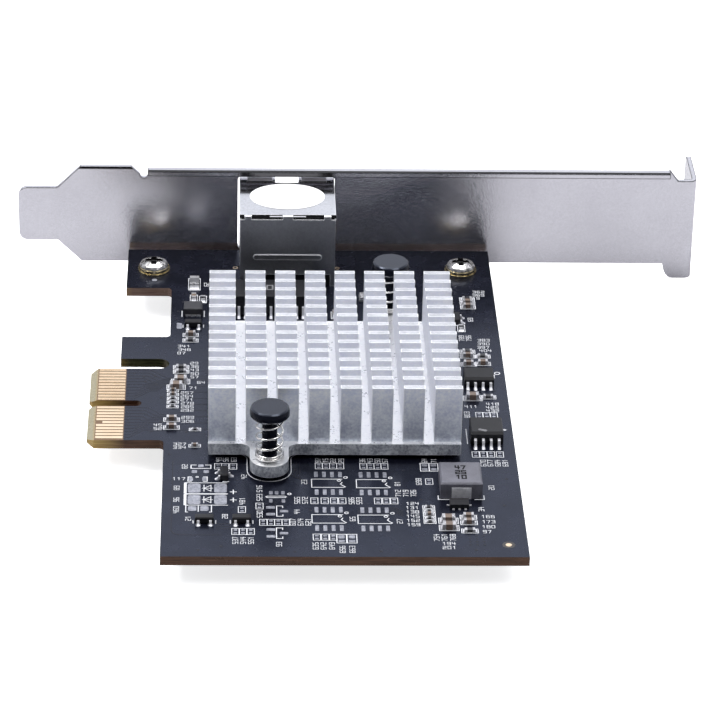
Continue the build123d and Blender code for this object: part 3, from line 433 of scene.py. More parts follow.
def shield_metal():
    """Smooth plated sheet: painted highlights on the folds and on the contact strips along the top, painted
    shade on the rear wall, and slot walls painted black as shade.
    """
    made, tree, shader = new_material("shield_metal")
    tone, fine = tones(tree, 80.0, 3200.0)
    rear = falls(tree, axis_value(tree, 1, "Normal"), *rear_facing)
    # Edges and the contact strips along the top painted as bright highlights.
    edges = maths(tree, "MAXIMUM", rim(tree, 0.00020), rises(tree, axis_value(tree, 2), *finger_z))
    # Slot walls painted near black as shade inside the slots.
    slot = all_of(tree, rear, rises(tree, axis_value(tree, 1), *slot_wall_y))
    plain = blend(tree, tone, (0.66, 0.66, 0.69), (0.80, 0.80, 0.83))
    # Rear wall painted darker as shade.
    rear_shade = blend(tree, tone, (0.24, 0.245, 0.26), (0.31, 0.315, 0.34))
    colour = blend(tree, edges, blend(tree, rear, plain, rear_shade), (0.95, 0.95, 0.97))
    colour = blend(tree, slot, colour, (0.004, 0.004, 0.005))
    rough = maths(tree, "ADD", spread(tree, tone, 0.11, 0.17), maths(tree, "MULTIPLY", rear, 0.17))
    dress(tree, shader, colour, rough, bump(tree, fine, 0.2, 0.000006, radius=0.0001),
          metal=spread(tree, edges, 1.0, 0.25))
    return made


def screw_metal():
    """Bright rolled steel, with painted shade inside the driver recess."""
    made, tree, shader = new_material("screw_steel")
    tone, fine = tones(tree, 900.0, 1500.0)
    level = facing_up(tree)
    height = axis_value(tree, 2)
    # Walls and floor of the driver recess painted dark as shade.
    recess_wall_shade = all_of(tree, falls(tree, level, 0.0, 1.0), rises(tree, height, *recess_z))
    recess_floor_shade = all_of(tree, level, falls(tree, height, *recess_z))
    steel = blend(tree, tone, (0.55, 0.54, 0.53), (0.97, 0.96, 0.95))
    colour = blend(tree, maths(tree, "ADD", recess_wall_shade, recess_floor_shade), steel, (0.06, 0.06, 0.065))
    dress(tree, shader, colour, spread(tree, tone, 0.10, 0.20), bump(tree, fine, 0.4, 0.00003, radius=0.0001),
          metal=0.88)
    return made


def pin_plastic():
    """Black nylon: glossier on the head's face than on its sides."""
    made, tree, shader = new_material("pin_plastic")
    tone, fine = tones(tree, 300.0, 3500.0)
    dress(tree, shader, blend(tree, tone, (0.0025, 0.0025, 0.005), (0.006, 0.007, 0.013)),
          spread(tree, tone, 0.15, 0.24), bump(tree, fine, 0.14, 0.00001, radius=0.00018),
          specular=spread(tree, facing_up(tree), 0.12, 0.66), tint=(0.72, 0.80, 1.0))
    return made


materials = {
    "mask": solder_mask(),
    "nickel": plate_metal(),
    "screw": screw_metal(),
    "shield": shield_metal(),
    "aluminium": sink_metal(),
    "plastic": pin_plastic(),
    "gold": brushed("contact_gold", (0.98, 0.80, 0.60), (0.86, 0.62, 0.38), (0.22, 0.36), 0, edge=0.00002),
    "washer": brushed("washer_steel", (0.86, 0.74, 0.46), (0.55, 0.47, 0.30), (0.16, 0.28), 0, 0.15,
                      patch=500.0),
    "spring": brushed("spring_steel", (0.90, 0.89, 0.87), (0.52, 0.50, 0.48), (0.10, 0.20), 2, 0.1, None),
    "lead": surface("lead_tin", (0.95, 0.95, 0.98), (0.66, 0.66, 0.70), (0.30, 0.45), 0.5, 2600.0,
                    patch=1500.0, edge=0.00008),
    "tin": surface("tin_plate", (0.66, 0.66, 0.68), (0.36, 0.36, 0.385), (0.20, 0.38), 0.65, 2600.0,
                   patch=900.0),
    "pad": surface("solder_pad", (0.42, 0.43, 0.49), (0.13, 0.135, 0.16), (0.32, 0.52), 0.6, 4200.0,
                   0.00002, 0.6, 1900.0),
    "housing": surface("housing_plastic", (0.007, 0.007, 0.008), (0.003, 0.003, 0.004), (0.5, 0.65),
                       grain=3500.0, specular=0.12),
    "moulding": surface("moulding_black", (0.012, 0.012, 0.015), (0.005, 0.005, 0.007), (0.34, 0.48),
                        grain=5500.0, grain_strength=0.5, edge=0.00004, specular=0.3),
    "ferrite": surface("ferrite_grey", (0.135, 0.135, 0.165), (0.065, 0.065, 0.08), (0.40, 0.55),
                       grain=4200.0, grain_strength=0.5, patch=400.0, edge=0.00008),
    "choke": surface("choke_black", (0.035, 0.035, 0.042), (0.018, 0.018, 0.022), (0.35, 0.5), grain=4200.0),
    "tan": surface("capacitor_tan", (0.19, 0.138, 0.108), (0.078, 0.058, 0.047), (0.30, 0.45),
                   patch=700.0, edge=0.00006),
    "film": surface("resistor_black", (0.030, 0.030, 0.036), (0.012, 0.012, 0.015), (0.22, 0.36),
                    patch=700.0, edge=0.00006),
    "fuse": surface("fuse_grey", (0.13, 0.135, 0.145), (0.06, 0.062, 0.07), (0.35, 0.5),
                    grain=3500.0, patch=600.0),
    "laminate": surface("laminate_green", (0.05, 0.11, 0.06), (0.03, 0.07, 0.035), (0.4, 0.5)),
    "thermal": surface("pad_grey", (0.30, 0.32, 0.36), (0.22, 0.23, 0.27), (0.6, 0.75), grain_strength=0.5),
    "clear": surface("light_pipe", (0.80, 0.83, 0.80), (0.68, 0.71, 0.68), (0.10, 0.2), coat=0.3),
    "paper": surface("label_white", (0.93, 0.93, 0.93), (0.88, 0.88, 0.89), (0.45, 0.55), grain=1500.0,
                     grain_depth=0.000004),
    "ink": surface("silkscreen_white", (0.72, 0.73, 0.76), (0.50, 0.51, 0.54), (0.5, 0.65),
                   grain=6000.0, patch=1800.0, edge=None),
    "dim_ink": surface("chip_mark", (0.20, 0.20, 0.21), (0.10, 0.10, 0.11), (0.5, 0.65),
                       grain=6000.0, patch=2500.0, edge=None),
    "trace": surface("trace_relief", (0.010, 0.011, 0.020), (0.006, 0.007, 0.013), (0.36, 0.46),
                     grain=5200.0, patch=260.0, edge=None, specular=0.25),
    "bare": surface("bare_laminate", (0.034, 0.030, 0.030), (0.018, 0.016, 0.017), (0.34, 0.44),
                    grain=5200.0, patch=900.0, edge=None),
}

# Nodes by finish
finish_nodes = {
    "mask": "circuit_board",
    "gold": "edge_contacts jack_contacts",
    "nickel": "mounting_bracket",
    "screw": "bracket_screws",
    "washer": "flat_washers lock_washers",
    "shield": "jack_shield",
    "housing": "jack_housing",
    "clear": "jack_light_pipes",
    "paper": "jack_label",
    "aluminium": "heat_sink",
    "plastic": "push_pins",
    "spring": "pin_springs",
    "thermal": "thermal_pad",
    "laminate": "controller_substrate",
    "moulding": "controller_mould transformer_body package_bodies transistor_bodies regulator_body",
    "lead": "transformer_leads package_leads transistor_leads power_inductor_terminals",
    "ferrite": "power_inductor_core",
    "choke": "filter_inductor_body",
    "tan": "capacitor_bodies",
    "film": "resistor_bodies",
    "fuse": "input_fuse_body crystal_base",
    "tin": "regulator_pads filter_inductor_terminals capacitor_ends resistor_ends input_fuse_ends "
           "crystal_lid",
}
for finish, names in finish_nodes.items():
    for name in names.split():
        carried = nodes[name].data.materials
        carried.clear()
        carried.append(materials[finish])


# Thin printed and plated layers on the board

def around(x, y, radius, steps):
    """Points round a circle, the first one also last."""
    turns = [math.tau * index / steps for index in range(steps + 1)]
    return [(x + radius * math.cos(turn), y + radius * math.sin(turn)) for turn in turns]


class Layer:
    """Collects thin raised shapes, in millimetres, into one piece."""

    def __init__(self, name, finish, record_slot, base=BOARD_TOP, rise=0.03):
        self.name = name
        self.finish = finish
        self.record_slot = record_slot
        self.low = base
        self.rise = rise
        self.turn = 0
        self.mesh = bmesh.new()

    def prism(self, points):
        """Raised outline, each a little higher or lower than the last, so that tops that cross stay apart."""
        self.turn = (self.turn + 5) % 17
        rise = self.rise * (1 + self.turn * 0.012)
        if rise < 0:
            points = points[::-1]
        lower = [self.mesh.verts.new((x * MM, y * MM, self.low * MM)) for x, y in points]
        upper = [self.mesh.verts.new((x * MM, y * MM, (self.low + rise) * MM)) for x, y in points]
        count = len(points)
        self.mesh.faces.new(upper)
        for index in range(count):
            after = (index + 1) % count
            self.mesh.faces.new((lower[index], lower[after], upper[after], upper[index]))

    def rect(self, x, y, width, depth):
        """Rectangle about its centre."""
        w = width / 2
        d = depth / 2
        self.prism([(x - w, y - d), (x + w, y - d), (x + w, y + d), (x - w, y + d)])

    def pad(self, x, y, width, depth):
        """Pad with clipped corners."""
        w = width / 2
        d = depth / 2
        c = min(w, d) * 0.3
        self.prism([(x - w + c, y - d), (x + w - c, y - d), (x + w, y - d + c), (x + w, y + d - c),
                    (x + w - c, y + d), (x - w + c, y + d), (x - w, y + d - c), (x - w, y - d + c)])

    def line(self, start, end, width=WIDE_STROKE):
        """Straight stroke with a half width over its ends."""
        a = Vector(start)
        b = Vector(end)
        along = (b - a)
        if along.length < 1e-6:
            return
        along.normalize()
        side = Vector((-along.y, along.x)) * width / 2
        over = along * width / 2
        corners = (a - over - side, b + over - side, b + over + side, a - over + side)
        self.prism([tuple(corner) for corner in corners])

    def path(self, points, width=WIDE_STROKE):
        """Strokes through points."""
        for a, b in zip(points, points[1:]):
            self.line(a, b, width)

    def frame(self, x, y, width, depth, stroke=STROKE):
        """Open rectangle."""
        w = width / 2
        d = depth / 2
        self.path([(x - w, y - d), (x + w, y - d), (x + w, y + d), (x - w, y + d), (x - w, y - d)], stroke)

    def disc(self, x, y, radius, steps=20):
        """Round dot."""
        self.prism(around(x, y, radius, steps)[:-1])

    def ring(self, x, y, radius, stroke=RING_STROKE):
        """Circle."""
        self.path(around(x, y, radius, 20), stroke)

    def number(self, text, x, y, height=1.0, upright=True, stroke=0.09):
        """Plain stroke digits about a centre, reading across or along the card."""
        unit = height / 4
        wide = height * 0.3
        advance = wide * 3.1
        start = -advance * (len(text) - 1) / 2 - wide
        for place, digit in enumerate(text):
            for run in DIGITS[digit]:
                points = []
                for u, v in run:
                    across = start + place * advance + u * wide
                    up = (v - 2) * unit
                    points.append((x + across, y + up) if upright else (x - up, y + across))
                self.path(points, stroke)

    def build(self):
        """The finished piece, riding on the card."""
        data = bpy.data.meshes.new(self.name)
        bmesh.ops.recalc_face_normals(self.mesh, faces=self.mesh.faces)
        self.mesh.to_mesh(data)
        self.mesh.free()
        made = bpy.data.objects.new(self.name, data)
        scene.collection.objects.link(made)
        data.materials.append(materials[self.finish])
        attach(made, "root")


DIGITS = {
    "0": [[(0, 0), (2, 0), (2, 4), (0, 4), (0, 0)]],
    "1": [[(0.4, 3.2), (1.2, 4), (1.2, 0)]],
    "2": [[(0, 4), (2, 4), (2, 2), (0, 2), (0, 0), (2, 0)]],
    "3": [[(0, 4), (2, 4), (2, 0), (0, 0)], [(0.5, 2), (2, 2)]],
    "4": [[(0, 4), (0, 2), (2, 2)], [(1.6, 4), (1.6, 0)]],
    "5": [[(2, 4), (0, 4), (0, 2), (2, 2), (2, 0), (0, 0)]],
    "6": [[(2, 4), (0, 4), (0, 0), (2, 0), (2, 2), (0, 2)]],
    "7": [[(0, 4), (2, 4), (0.8, 0)]],
    "8": [[(0, 0), (2, 0), (2, 4), (0, 4), (0, 0)], [(0, 2), (2, 2)]],
    "9": [[(2, 2), (0, 2), (0, 4), (2, 4), (2, 0), (0, 0)]],
}

ink = Layer("silkscreen", "ink", "label_white")
pads = Layer("bare_pads", "pad", "tin_plate", rise=0.035)


def chip_cell(x, y, print_layer, pad_layer):
    """Empty footprint of a small chip part: two pads in a printed frame."""
    print_layer.frame(x, y, cell_width, cell_depth, CELL_STROKE)
    for side in (-1, 1):
        pad_layer.pad(x, y + side * cell_pad_out, cell_pad_width, cell_pad_depth)


def big_cell(x, y, width, depth, pad_width, near_pad, far_pad):
    """Empty footprint of a larger chip part, with its pads at their own places and depths."""
    ink.frame(x, y, width, depth)
    for place, pad_depth in (near_pad, far_pad):
        pads.pad(x, place, pad_width, pad_depth)


# Rows of empty cells, front zone first
cells = [
    (37.2, -20.7), (38.36, -20.7), (39.49, -20.7), (40.61, -20.7), (44.3, -20.76), (45.43, -20.76),
    (46.56, -20.76), (47.65, -20.76), (36.28, -31.72), (37.9, -31.72), (39.37, -31.72), (40.66, -31.72),
    (46.25, -31.72), (47.55, -31.72), (48.79, -31.72), (36.44, -42.85), (37.73, -42.85), (38.98, -42.85),
    (28.24, -38.4), (29.42, -38.4), (30.56, -38.4), (31.71, -38.4), (23.92, -41.2), (25.10, -41.2),
    (26.28, -41.2), (21.2, -20.9), (22.3, -20.9), (23.6, -20.9), (24.94, -34.5), (27.69, -33.4),
    (54.56, -25.6), (62.45, -16.8), (63.69, -16.8), (64.93, -16.8), (66.34, -16.8), (63.8, -3.7),
    (65.0, -3.7), (66.2, -3.7),
]
for x, y in cells:
    chip_cell(x, y, ink, pads)
for x in (40.25, 41.84):
    big_cell(x, -43.3, 1.5, 2.6, 1.0, (-42.75, 0.95), (-44.0, 0.6))
for x in (54.05, 55.48):
    big_cell(x, -21.0, 1.36, 2.5, 0.9, (-20.35, 0.75), (-21.65, 0.75))


def wide_footprint(x, y):
    """Empty eight-lead footprint with its printed outline and pin mark."""
    for side in (-1, 1):
        for step in (-1.5, -0.5, 0.5, 1.5):
            pads.pad(x + step * lead_pitch, y + side * lead_pad_out, lead_pad_width, lead_pad_depth)
    right = x + outline_half_width
    left = x - outline_half_width
    rear = y + outline_half_depth
    front = y - outline_half_depth
    ink.path([(right - 0.5, rear), (left, rear), (left, front), (right - 0.25, front), (right, front + 0.2),
              (right - 0.35, front + 0.5), (right - 0.75, y - 0.25), (right - 0.5, y + 0.25)], STROKE)
    ink.ring(right - 0.95, rear - 0.45, 0.26)
    ink.ring(right + 0.1, rear + 0.55, 0.28)


for spot in ((38.6, -26.2), (45.68, -26.3), (38.45, -37.3), (45.6, -37.4)):
    wide_footprint(*spot)

# Empty three-lead and five-lead footprints
for x, y in ((29.4, -33.8), (29.4, -35.9), (29.4, -40.6), (29.4, -42.65)):
    pads.pad(x, y, 1.4, 0.75)
for x, y in ((31.5, -34.95), (31.4, -41.7)):
    pads.pad(x, y, 1.3, 0.7)
    ink.path([(x - 0.2, y + 1.1), (x - 0.2, y + 1.6), (x - 1.15, y + 1.6),
              (x - 1.15, y - 1.6), (x - 0.2, y - 1.6), (x - 0.2, y - 1.1)], STROKE)
for x in (29.5, 30.4, 31.4):
    pads.pad(x, -29.25, 0.55, 1.0)
for x in (29.46, 31.43):
    pads.pad(x, -31.76, 0.55, 1.0)
ink.path([(29.0, -30.3), (28.7, -30.5), (28.9, -30.75), (31.7, -30.75), (31.9, -30.5), (31.6, -30.3),
          (29.0, -30.3)], STROKE)
ink.ring(32.4, -29.6, 0.26)
for x, y in ((18.47, -20.8), (17.45, -22.6), (19.33, -22.6)):
    pads.pad(x, y, 0.85, 0.95)
ink.path([(17.7, -20.5), (16.9, -20.5), (16.9, -21.6), (20.05, -21.6), (20.05, -20.5), (19.2, -20.5)],
         BOLD_STROKE)
ink.path([(17.0, -24.3), (16.5, -24.3), (16.45, -25.7), (17.0, -25.7)], BOLD_STROKE)
ink.path([(18.9, -24.3), (19.47, -24.3), (19.47, -25.7), (18.9, -25.7)], BOLD_STROKE)
pads.pad(16.95, -25.0, 0.6, 1.1)
pads.pad(19.0, -25.0, 0.6, 1.1)
ink.ring(17.9, -24.3, 0.18, CHIP_STROKE)

# Two empty diode footprints with their printed symbols
for y in (-27.86, -31.45):
    pads.pad(17.46, y, 2.0, 2.9)
    pads.pad(21.6, y, 2.0, 2.9)
    ink.rect(16.06, y, 0.42, 3.4)
    ink.line((16.1, y + 1.7), (22.6, y + 1.7), STROKE)
    ink.line((16.1, y - 1.72), (22.7, y - 1.72), STROKE)
    ink.path([(20.1, y + 0.95), (20.1, y - 0.95), (19.0, y), (20.1, y + 0.95)], CELL_STROKE)
    ink.line((19.0, y + 0.95), (19.0, y - 0.95), CHIP_STROKE)
    ink.line((18.75, y), (20.4, y), CELL_STROKE)
for y in (-29.0, -31.5):
    ink.line((23.15, y), (24.05, y), BOLD_STROKE)
    ink.line((23.6, y - 0.6), (23.6, y + 0.6), BOLD_STROKE)
for x in (17.2, 19.1):
    pads.pad(x, -34.2, 1.3, 1.5)
ink.path([(16.5, -35.3), (16.2, -35.3), (16.2, -33.2), (16.5, -33.2)])
ink.path([(19.9, -35.3), (20.2, -35.3), (20.2, -33.2), (19.9, -33.2)])
ink.line((18.15, -35.1), (18.15, -33.3))

# Part numbers of the print: plain running numbers
reading_across = [
    (15.0, -24.9, 3), (51.6, -32.5, 3), (51.5, -33.8, 3), (51.5, -35.1, 3), (51.5, -36.4, 3),
    (51.5, -37.7, 3), (51.5, -39.0, 3), (63.2, -36.5, 3), (63.2, -38.05, 3), (63.1, -39.6, 3),
    (62.8, -41.1, 2), (56.7, -44.7, 3), (56.7, -45.9, 3), (17.1, 14.0, 2), (17.2, 12.8, 2),
    (17.2, 11.6, 2), (17.2, 10.3, 2), (17.2, 9.1, 2), (18.3, 7.2, 2), (17.0, 5.3, 2), (16.0, 3.6, 3),
    (16.0, 2.4, 3), (16.0, 1.2, 3), (16.1, 0.0, 3), (16.1, -1.2, 3), (16.1, -2.4, 3), (16.2, -4.8, 3),
    (16.2, -6.1, 3), (11.4, -7.4, 2), (11.4, -8.6, 2), (15.0, -13.7, 3), (15.0, -14.8, 3),
    (15.3, 20.1, 3), (15.4, 18.8, 3), (14.9, 17.6, 2), (66.3, 40.8, 3), (66.2, 39.6, 3), (65.7, 38.4, 2),
    (66.1, 22.7, 3), (66.0, 21.4, 3), (65.9, 20.1, 3), (66.2, 18.9, 3), (62.6, -0.8, 3), (66.2, 0.1, 3),
    (66.1, -1.1, 3), (66.1, -2.2, 3),
]
reading_along = [
    (15.9, -21.0, 2), (14.7, -27.8, 2), (14.7, -31.5, 2), (14.7, -34.6, 3), (16.6, -37.3, 2),
    (22.3, -36.6, 2), (25.0, -31.9, 3), (25.3, -24.2, 2), (21.3, -18.7, 2), (22.4, -18.7, 2),
    (23.7, -18.7, 2), (27.7, -28.0, 3), (27.7, -30.7, 3), (27.7, -35.9, 3), (23.9, -43.9, 3),
    (25.1, -43.9, 3), (26.3, -43.9, 3), (34.8, -25.8, 2), (33.6, -31.6, 3), (34.8, -31.6, 3),
    (33.5, -35.1, 2), (42.1, -31.7, 3), (43.3, -31.7, 3), (42.1, -37.3, 2), (32.8, -38.3, 3),
    (34.0, -38.3, 3), (35.2, -38.3, 3), (30.6, -45.0, 2), (36.2, -45.5, 3), (37.4, -45.5, 3),
    (38.7, -45.5, 3), (40.3, -46.5, 3), (41.8, -46.5, 3), (63.5, -19.6, 3), (64.6, -19.6, 3),
    (65.8, -19.6, 3), (67.0, -19.6, 3), (52.9, -25.6, 3), (49.5, -26.3, 2), (49.5, -29.3, 3),
    (50.7, -29.3, 3), (51.9, -29.3, 3), (64.3, -27.5, 2), (49.4, -38.0, 2), (62.3, -34.2, 2),
    (54.9, -42.9, 3), (56.1, -42.9, 3), (57.4, -42.9, 3), (19.0, 43.2, 2), (64.3, 30.3, 2),
    (62.4, 23.4, 3), (63.6, 23.4, 3), (61.8, -3.6, 3), (37.1, -18.9, 2), (38.3, -18.9, 2),
    (39.5, -18.9, 2), (40.8, -18.9, 2), (44.2, -18.9, 2), (45.4, -18.9, 2), (46.6, -18.9, 2),
    (47.8, -18.9, 2), (54.1, -18.9, 2), (55.6, -18.9, 2),
]
serial = 10
for places, upright in ((reading_across, True), (reading_along, False)):
    for x, y, length in places:
        serial += 7
        shown = 100 + serial % 880 if length == 3 else 10 + serial % 89
        ink.number(str(shown), x, y, number_height, upright)


# Line round the heat sink's base and its lugs

def lug_run(x, y, edge, forward):
    """Points that lead round one lug, from its left root to its right root."""
    left_root = []
    for step in range(7):
        angle = math.pi / 2 * step / 6
        out = lug_radius + lug_root * (1 - math.sin(angle))
        left_root.append((x - out, edge + forward * lug_root * (1 - math.cos(angle))))
    nose = []
    for step in range(17):
        angle = math.pi - math.pi * step / 16
        nose.append((x + lug_radius * math.cos(angle), y + forward * lug_radius * math.sin(angle)))
    right_root = [(2 * x - across, up) for across, up in reversed(left_root)]
    return left_root + nose + right_root


def sink_line():
    """Printed line that follows the base of the heat sink and both lugs."""
    low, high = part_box("heat_sink")
    left = low[0] / MM + sink_line_inset
    right = high[0] / MM - sink_line_inset
    front = sink_line_front
    rear = sink_line_rear
    run = [(left, rear), (left, front), *lug_run(*front_pin, front, -1), (right, front), (right, rear)]
    run += [*reversed(lug_run(*rear_pin, rear, 1)), (left, rear)]
    ink.path(run, RING_STROKE)


sink_line()


# Places of the mounted parts, read from the frame

def islands(name):
    """Lowest and highest corner of each separate solid of a node, in millimetres."""
    work = bmesh.new()
    work.from_mesh(nodes[name].data)
    bmesh.ops.remove_doubles(work, verts=work.verts, dist=1e-7)
    work.verts.ensure_lookup_table()
    seen = set()
    found = []
    for vert in work.verts:
        if vert.index in seen:
            continue
        stack = [vert]
        seen.add(vert.index)
        group = []
        while stack:
            at = stack.pop()
            group.append(at.co / MM)
            for edge in at.link_edges:
                other = edge.other_vert(at)
                if other.index not in seen:
                    seen.add(other.index)
                    stack.append(other)
        low = Vector([min(p[i] for p in group) for i in range(3)])
        high = Vector([max(p[i] for p in group) for i in range(3)])
        found.append((low, high))
    work.free()
    return found


solder = Layer("solder_fillets", "lead", "tin_plate")


def wedge(low, high, axis, side, rise, reach):
    """Sloping solder from the side of a metal end down to its pad."""
    other = 1 - axis
    edge = high[axis] if side > 0 else low[axis]
    centre = (low[other] + high[other]) / 2
    half = (high[other] - low[other]) / 2

    def row(out, up, wide_share):
        """Both corners of the solder at one distance from the metal."""
        made = []
        for across_side in (-1, 1):
            point = [0.0, 0.0, BOARD_TOP + up]
            point[axis] = edge + side * out
            point[other] = centre + across_side * half * wide_share
            made.append(solder.mesh.verts.new([value * MM for value in point]))
        return made

    profile = [(0.0, rise, 0.94), (reach * 0.35, rise * 0.45, 1.0), (reach, 0.03, 1.06), (reach, 0.0, 1.12)]
    rows = [row(*step) for step in profile]
    foot = row(0.0, 0.0, 0.94)
    for first, second in zip(rows, rows[1:]):
        solder.mesh.faces.new((first[0], first[1], second[1], second[0]))
    for which in (0, 1):
        solder.mesh.faces.new([pair[which] for pair in rows] + [foot[which]])


def dress_chips(bodies_name, ends_name):
    """Solder and a printed frame for each chip part with two metal ends."""
    ends = islands(ends_name)
    for body in islands(bodies_name):
        centre = (body[0] + body[1]) / 2
        near = sorted(ends, key=lambda item: ((item[0] + item[1]) / 2 - centre).length)[:2]
        low = Vector([min(item[0][i] for item in near) for i in range(3)])
        high = Vector([max(item[1][i] for item in near) for i in range(3)])
        size = high - low
        apart = (near[0][0] + near[0][1] - near[1][0] - near[1][1]) / 2
        axis = 0 if abs(apart.x) > abs(apart.y) else 1
        rise = (high.z - BOARD_TOP) * 0.7
        reach = 0.16 + 0.10 * size[axis]
        wedge(low, high, axis, -1, rise, reach)
        wedge(low, high, axis, 1, rise, reach)
        grow = [0.42, 0.42]
        grow[axis] = 2 * reach + 0.32
        ink.frame(centre.x, centre.y, size.x + grow[0], size.y + grow[1], CHIP_STROKE)


for part in ("capacitor", "resistor"):
    dress_chips(part + "_bodies", part + "_ends")
dress_chips("input_fuse_body", "input_fuse_ends")

body_boxes = islands("package_bodies") + islands("transistor_bodies") + islands("transformer_body")


def dress_leads(leads_name, reach=0.28, wide=0.62):
    """Pad and solder under the foot of each lead."""
    for low, high in islands(leads_name):
        middle = (low + high) / 2
        body = min(body_boxes, key=lambda item: ((item[0] + item[1]) / 2 - middle).length)
        centre = (body[0] + body[1]) / 2
        axis = 1 if high.y - low.y > high.x - low.x else 0
        side = 1 if middle[axis] > centre[axis] else -1
        outer = high[axis] if side > 0 else low[axis]
        spot = [middle.x, middle.y]
        spot[axis] = outer - side * 0.22
        size = [wide, wide]
        size[axis] = 1.0
        pads.pad(*spot, *size)
        wedge(low, high, axis, side, 0.17, reach)


dress_leads("package_leads")
dress_leads("transistor_leads", 0.3, 0.8)
dress_leads("transformer_leads")

# Print beside the populated parts
for low, high in islands("transistor_bodies"):
    x = (low.x + high.x) / 2
    y = (low.y + high.y) / 2
    if high.x - low.x > high.y - low.y:
        for side in (-1, 1):
            ink.line((x + side * 1.75, y - 0.6), (x + side * 1.75, y + 0.3), STROKE)
    else:
        for side in (-1, 1):
            ink.line((x - 0.2, y + side * 1.75), (x + 0.7, y + side * 1.75), STROKE)
wide_box, narrow_box = sorted(islands("package_bodies"), key=lambda item: item[0].y)
ink.disc(67.64, -8.65, 0.28)
ink.ring(67.65, 10.8, 0.42, BOLD_STROKE)
for low, high in (wide_box, narrow_box):
    ink.path([(low.x - 0.5, high.y - 0.2), (low.x - 0.5, low.y + 0.2)])
ink.path([(high.x + 0.3, high.y - 0.9), (high.x + 0.3, high.y + 0.2), (high.x - 0.4, high.y + 0.2)])
low, high = islands("power_inductor_core")[0]
ink.path([(low.x + 1.4, low.y - 0.3), (low.x - 0.3, low.y - 0.3), (low.x - 0.3, low.y + 0.9)], BOLD_STROKE)
ink.path([(high.x - 1.2, low.y - 0.3), (high.x + 0.3, low.y - 0.3), (high.x + 0.3, low.y + 0.9)], BOLD_STROKE)
ink.path([(low.x + 1.4, high.y + 0.3), (high.x - 1.2, high.y + 0.3)], BOLD_STROKE)
low, high = islands("filter_inductor_body")[0]
for x in (low.x - 0.3, high.x + 0.3):
    ink.line((x, low.y - 0.1), (x, high.y - 0.9), BOLD_STROKE)
pads.pad(14.44, 27.56, 0.9, 2.1)

# Gold target with its dark ring, and via dots
gold = Layer("gold_targets", "gold", "contact_gold", rise=0.02)
gold.disc(65.88, -45.03, 0.48, 28)
for x in (24.0, 41.9):
    gold.ring(x, leg_y, 0.36, BOLD_STROKE)
pads.disc(9.9, 44.9, 0.45, 24)
clearing = Layer("target_ring", "bare", "solder_mask", rise=0.008)
clearing.disc(65.88, -45.03, 1.0, 28)

# Copper that shows through the mask as a slight relief
relief = Layer("copper_relief", "trace", "solder_mask", rise=0.012)


def fan_trace(y, bend, drop, end):
    """Trace from a contact that steps aside by the drop."""
    relief.path([(6.0, y), (bend, y), (bend + abs(drop), y - drop), (end, y - drop)], BOLD_STROKE)


for index in range(11):
    fan_trace(1.5 + index, 7.2 + 0.28 * index, 0.55 * (index - 5.0), 11.2 + 0.3 * index)
for index in range(11):
    fan_trace(-1.5 - index, 9.6 - 0.28 * index, 0.45 * (5.0 - index), 12.4 + 0.25 * index)
for index in range(9):
    y = -9.4 + 2.1 * index
    relief.path([(14.8, y), (16.6, y + 0.7), (19.4, y + 0.7)], STROKE)
relief.path([(14.0, -19.3), (14.0, -40.9), (14.4, -41.8), (15.3, -42.2), (21.7, -42.2)], BOLD_STROKE)
for x, y in ((20.9, -39.6), (21.0, -40.3), (21.1, -38.9)):
    relief.line((x, y), (x + 2.2, y), 0.2)
for index in range(8):
    x = 31.0 + 0.45 * index
    relief.path([(x, -19.6), (x, -22.0 - 0.4 * index), (x + 1.6, -23.6 - 0.4 * index)], STROKE)
for index in range(5):
    y = -33.8 - 0.42 * index
    relief.path([(43.0, y), (49.0, y), (50.0, y - 1.0)], STROKE)
spots = [
    (7.2, 10.4), (8.8, 9.2), (10.6, 9.3), (9.1, 7.6), (10.9, 6.6), (11.8, 2.0), (11.9, -6.2),
    (10.4, -9.4), (15.0, 36.6), (14.2, 33.0), (15.6, 39.5), (13.9, 30.4), (16.0, -9.6), (13.4, -17.0),
    (27.9, -25.4), (33.4, -21.9), (35.6, -34.6), (43.6, -22.8), (50.6, -22.0), (53.0, -31.2),
    (61.0, -21.0), (66.9, -24.6), (66.0, -33.0), (21.7, -45.6), (33.0, -47.2), (46.2, -47.0),
    (60.8, -46.6), (18.2, -46.8), (66.8, 4.6), (66.9, 27.0), (65.0, 33.6), (59.9, 45.2), (54.6, 50.4),
    (47.8, 46.0), (20.4, 53.0), (15.2, 54.2),
]
for x, y in spots:
    relief.disc(x, y, 0.27, 14)
for row in range(4):
    for column in range(3):
        relief.disc(60.0 + column * 1.1, -42.3 - row * 0.9, 0.2, 10)

# Underside: soldered tails and legs, empty cells, test points and traces
under = Layer("tail_solder", "tin", "tin_plate", base=BOARD_UNDER, rise=-0.03)


def cone(x, y, radius, height, steps=16):
    """Dished solder joint under the board."""
    rings = []
    for share, drop in ((1.0, 0.0), (0.62, 0.42), (0.42, 0.85), (0.3, 1.0)):
        level = (BOARD_UNDER - height * drop) * MM
        circle = around(x, y, radius * share, steps)[:-1]
        rings.append([under.mesh.verts.new((across * MM, along * MM, level)) for across, along in circle])
    for first, second in zip(rings, rings[1:]):
        for i in range(steps):
            j = (i + 1) % steps
            under.mesh.faces.new((first[i], first[j], second[j], second[i]))
    under.mesh.faces.new(rings[-1])


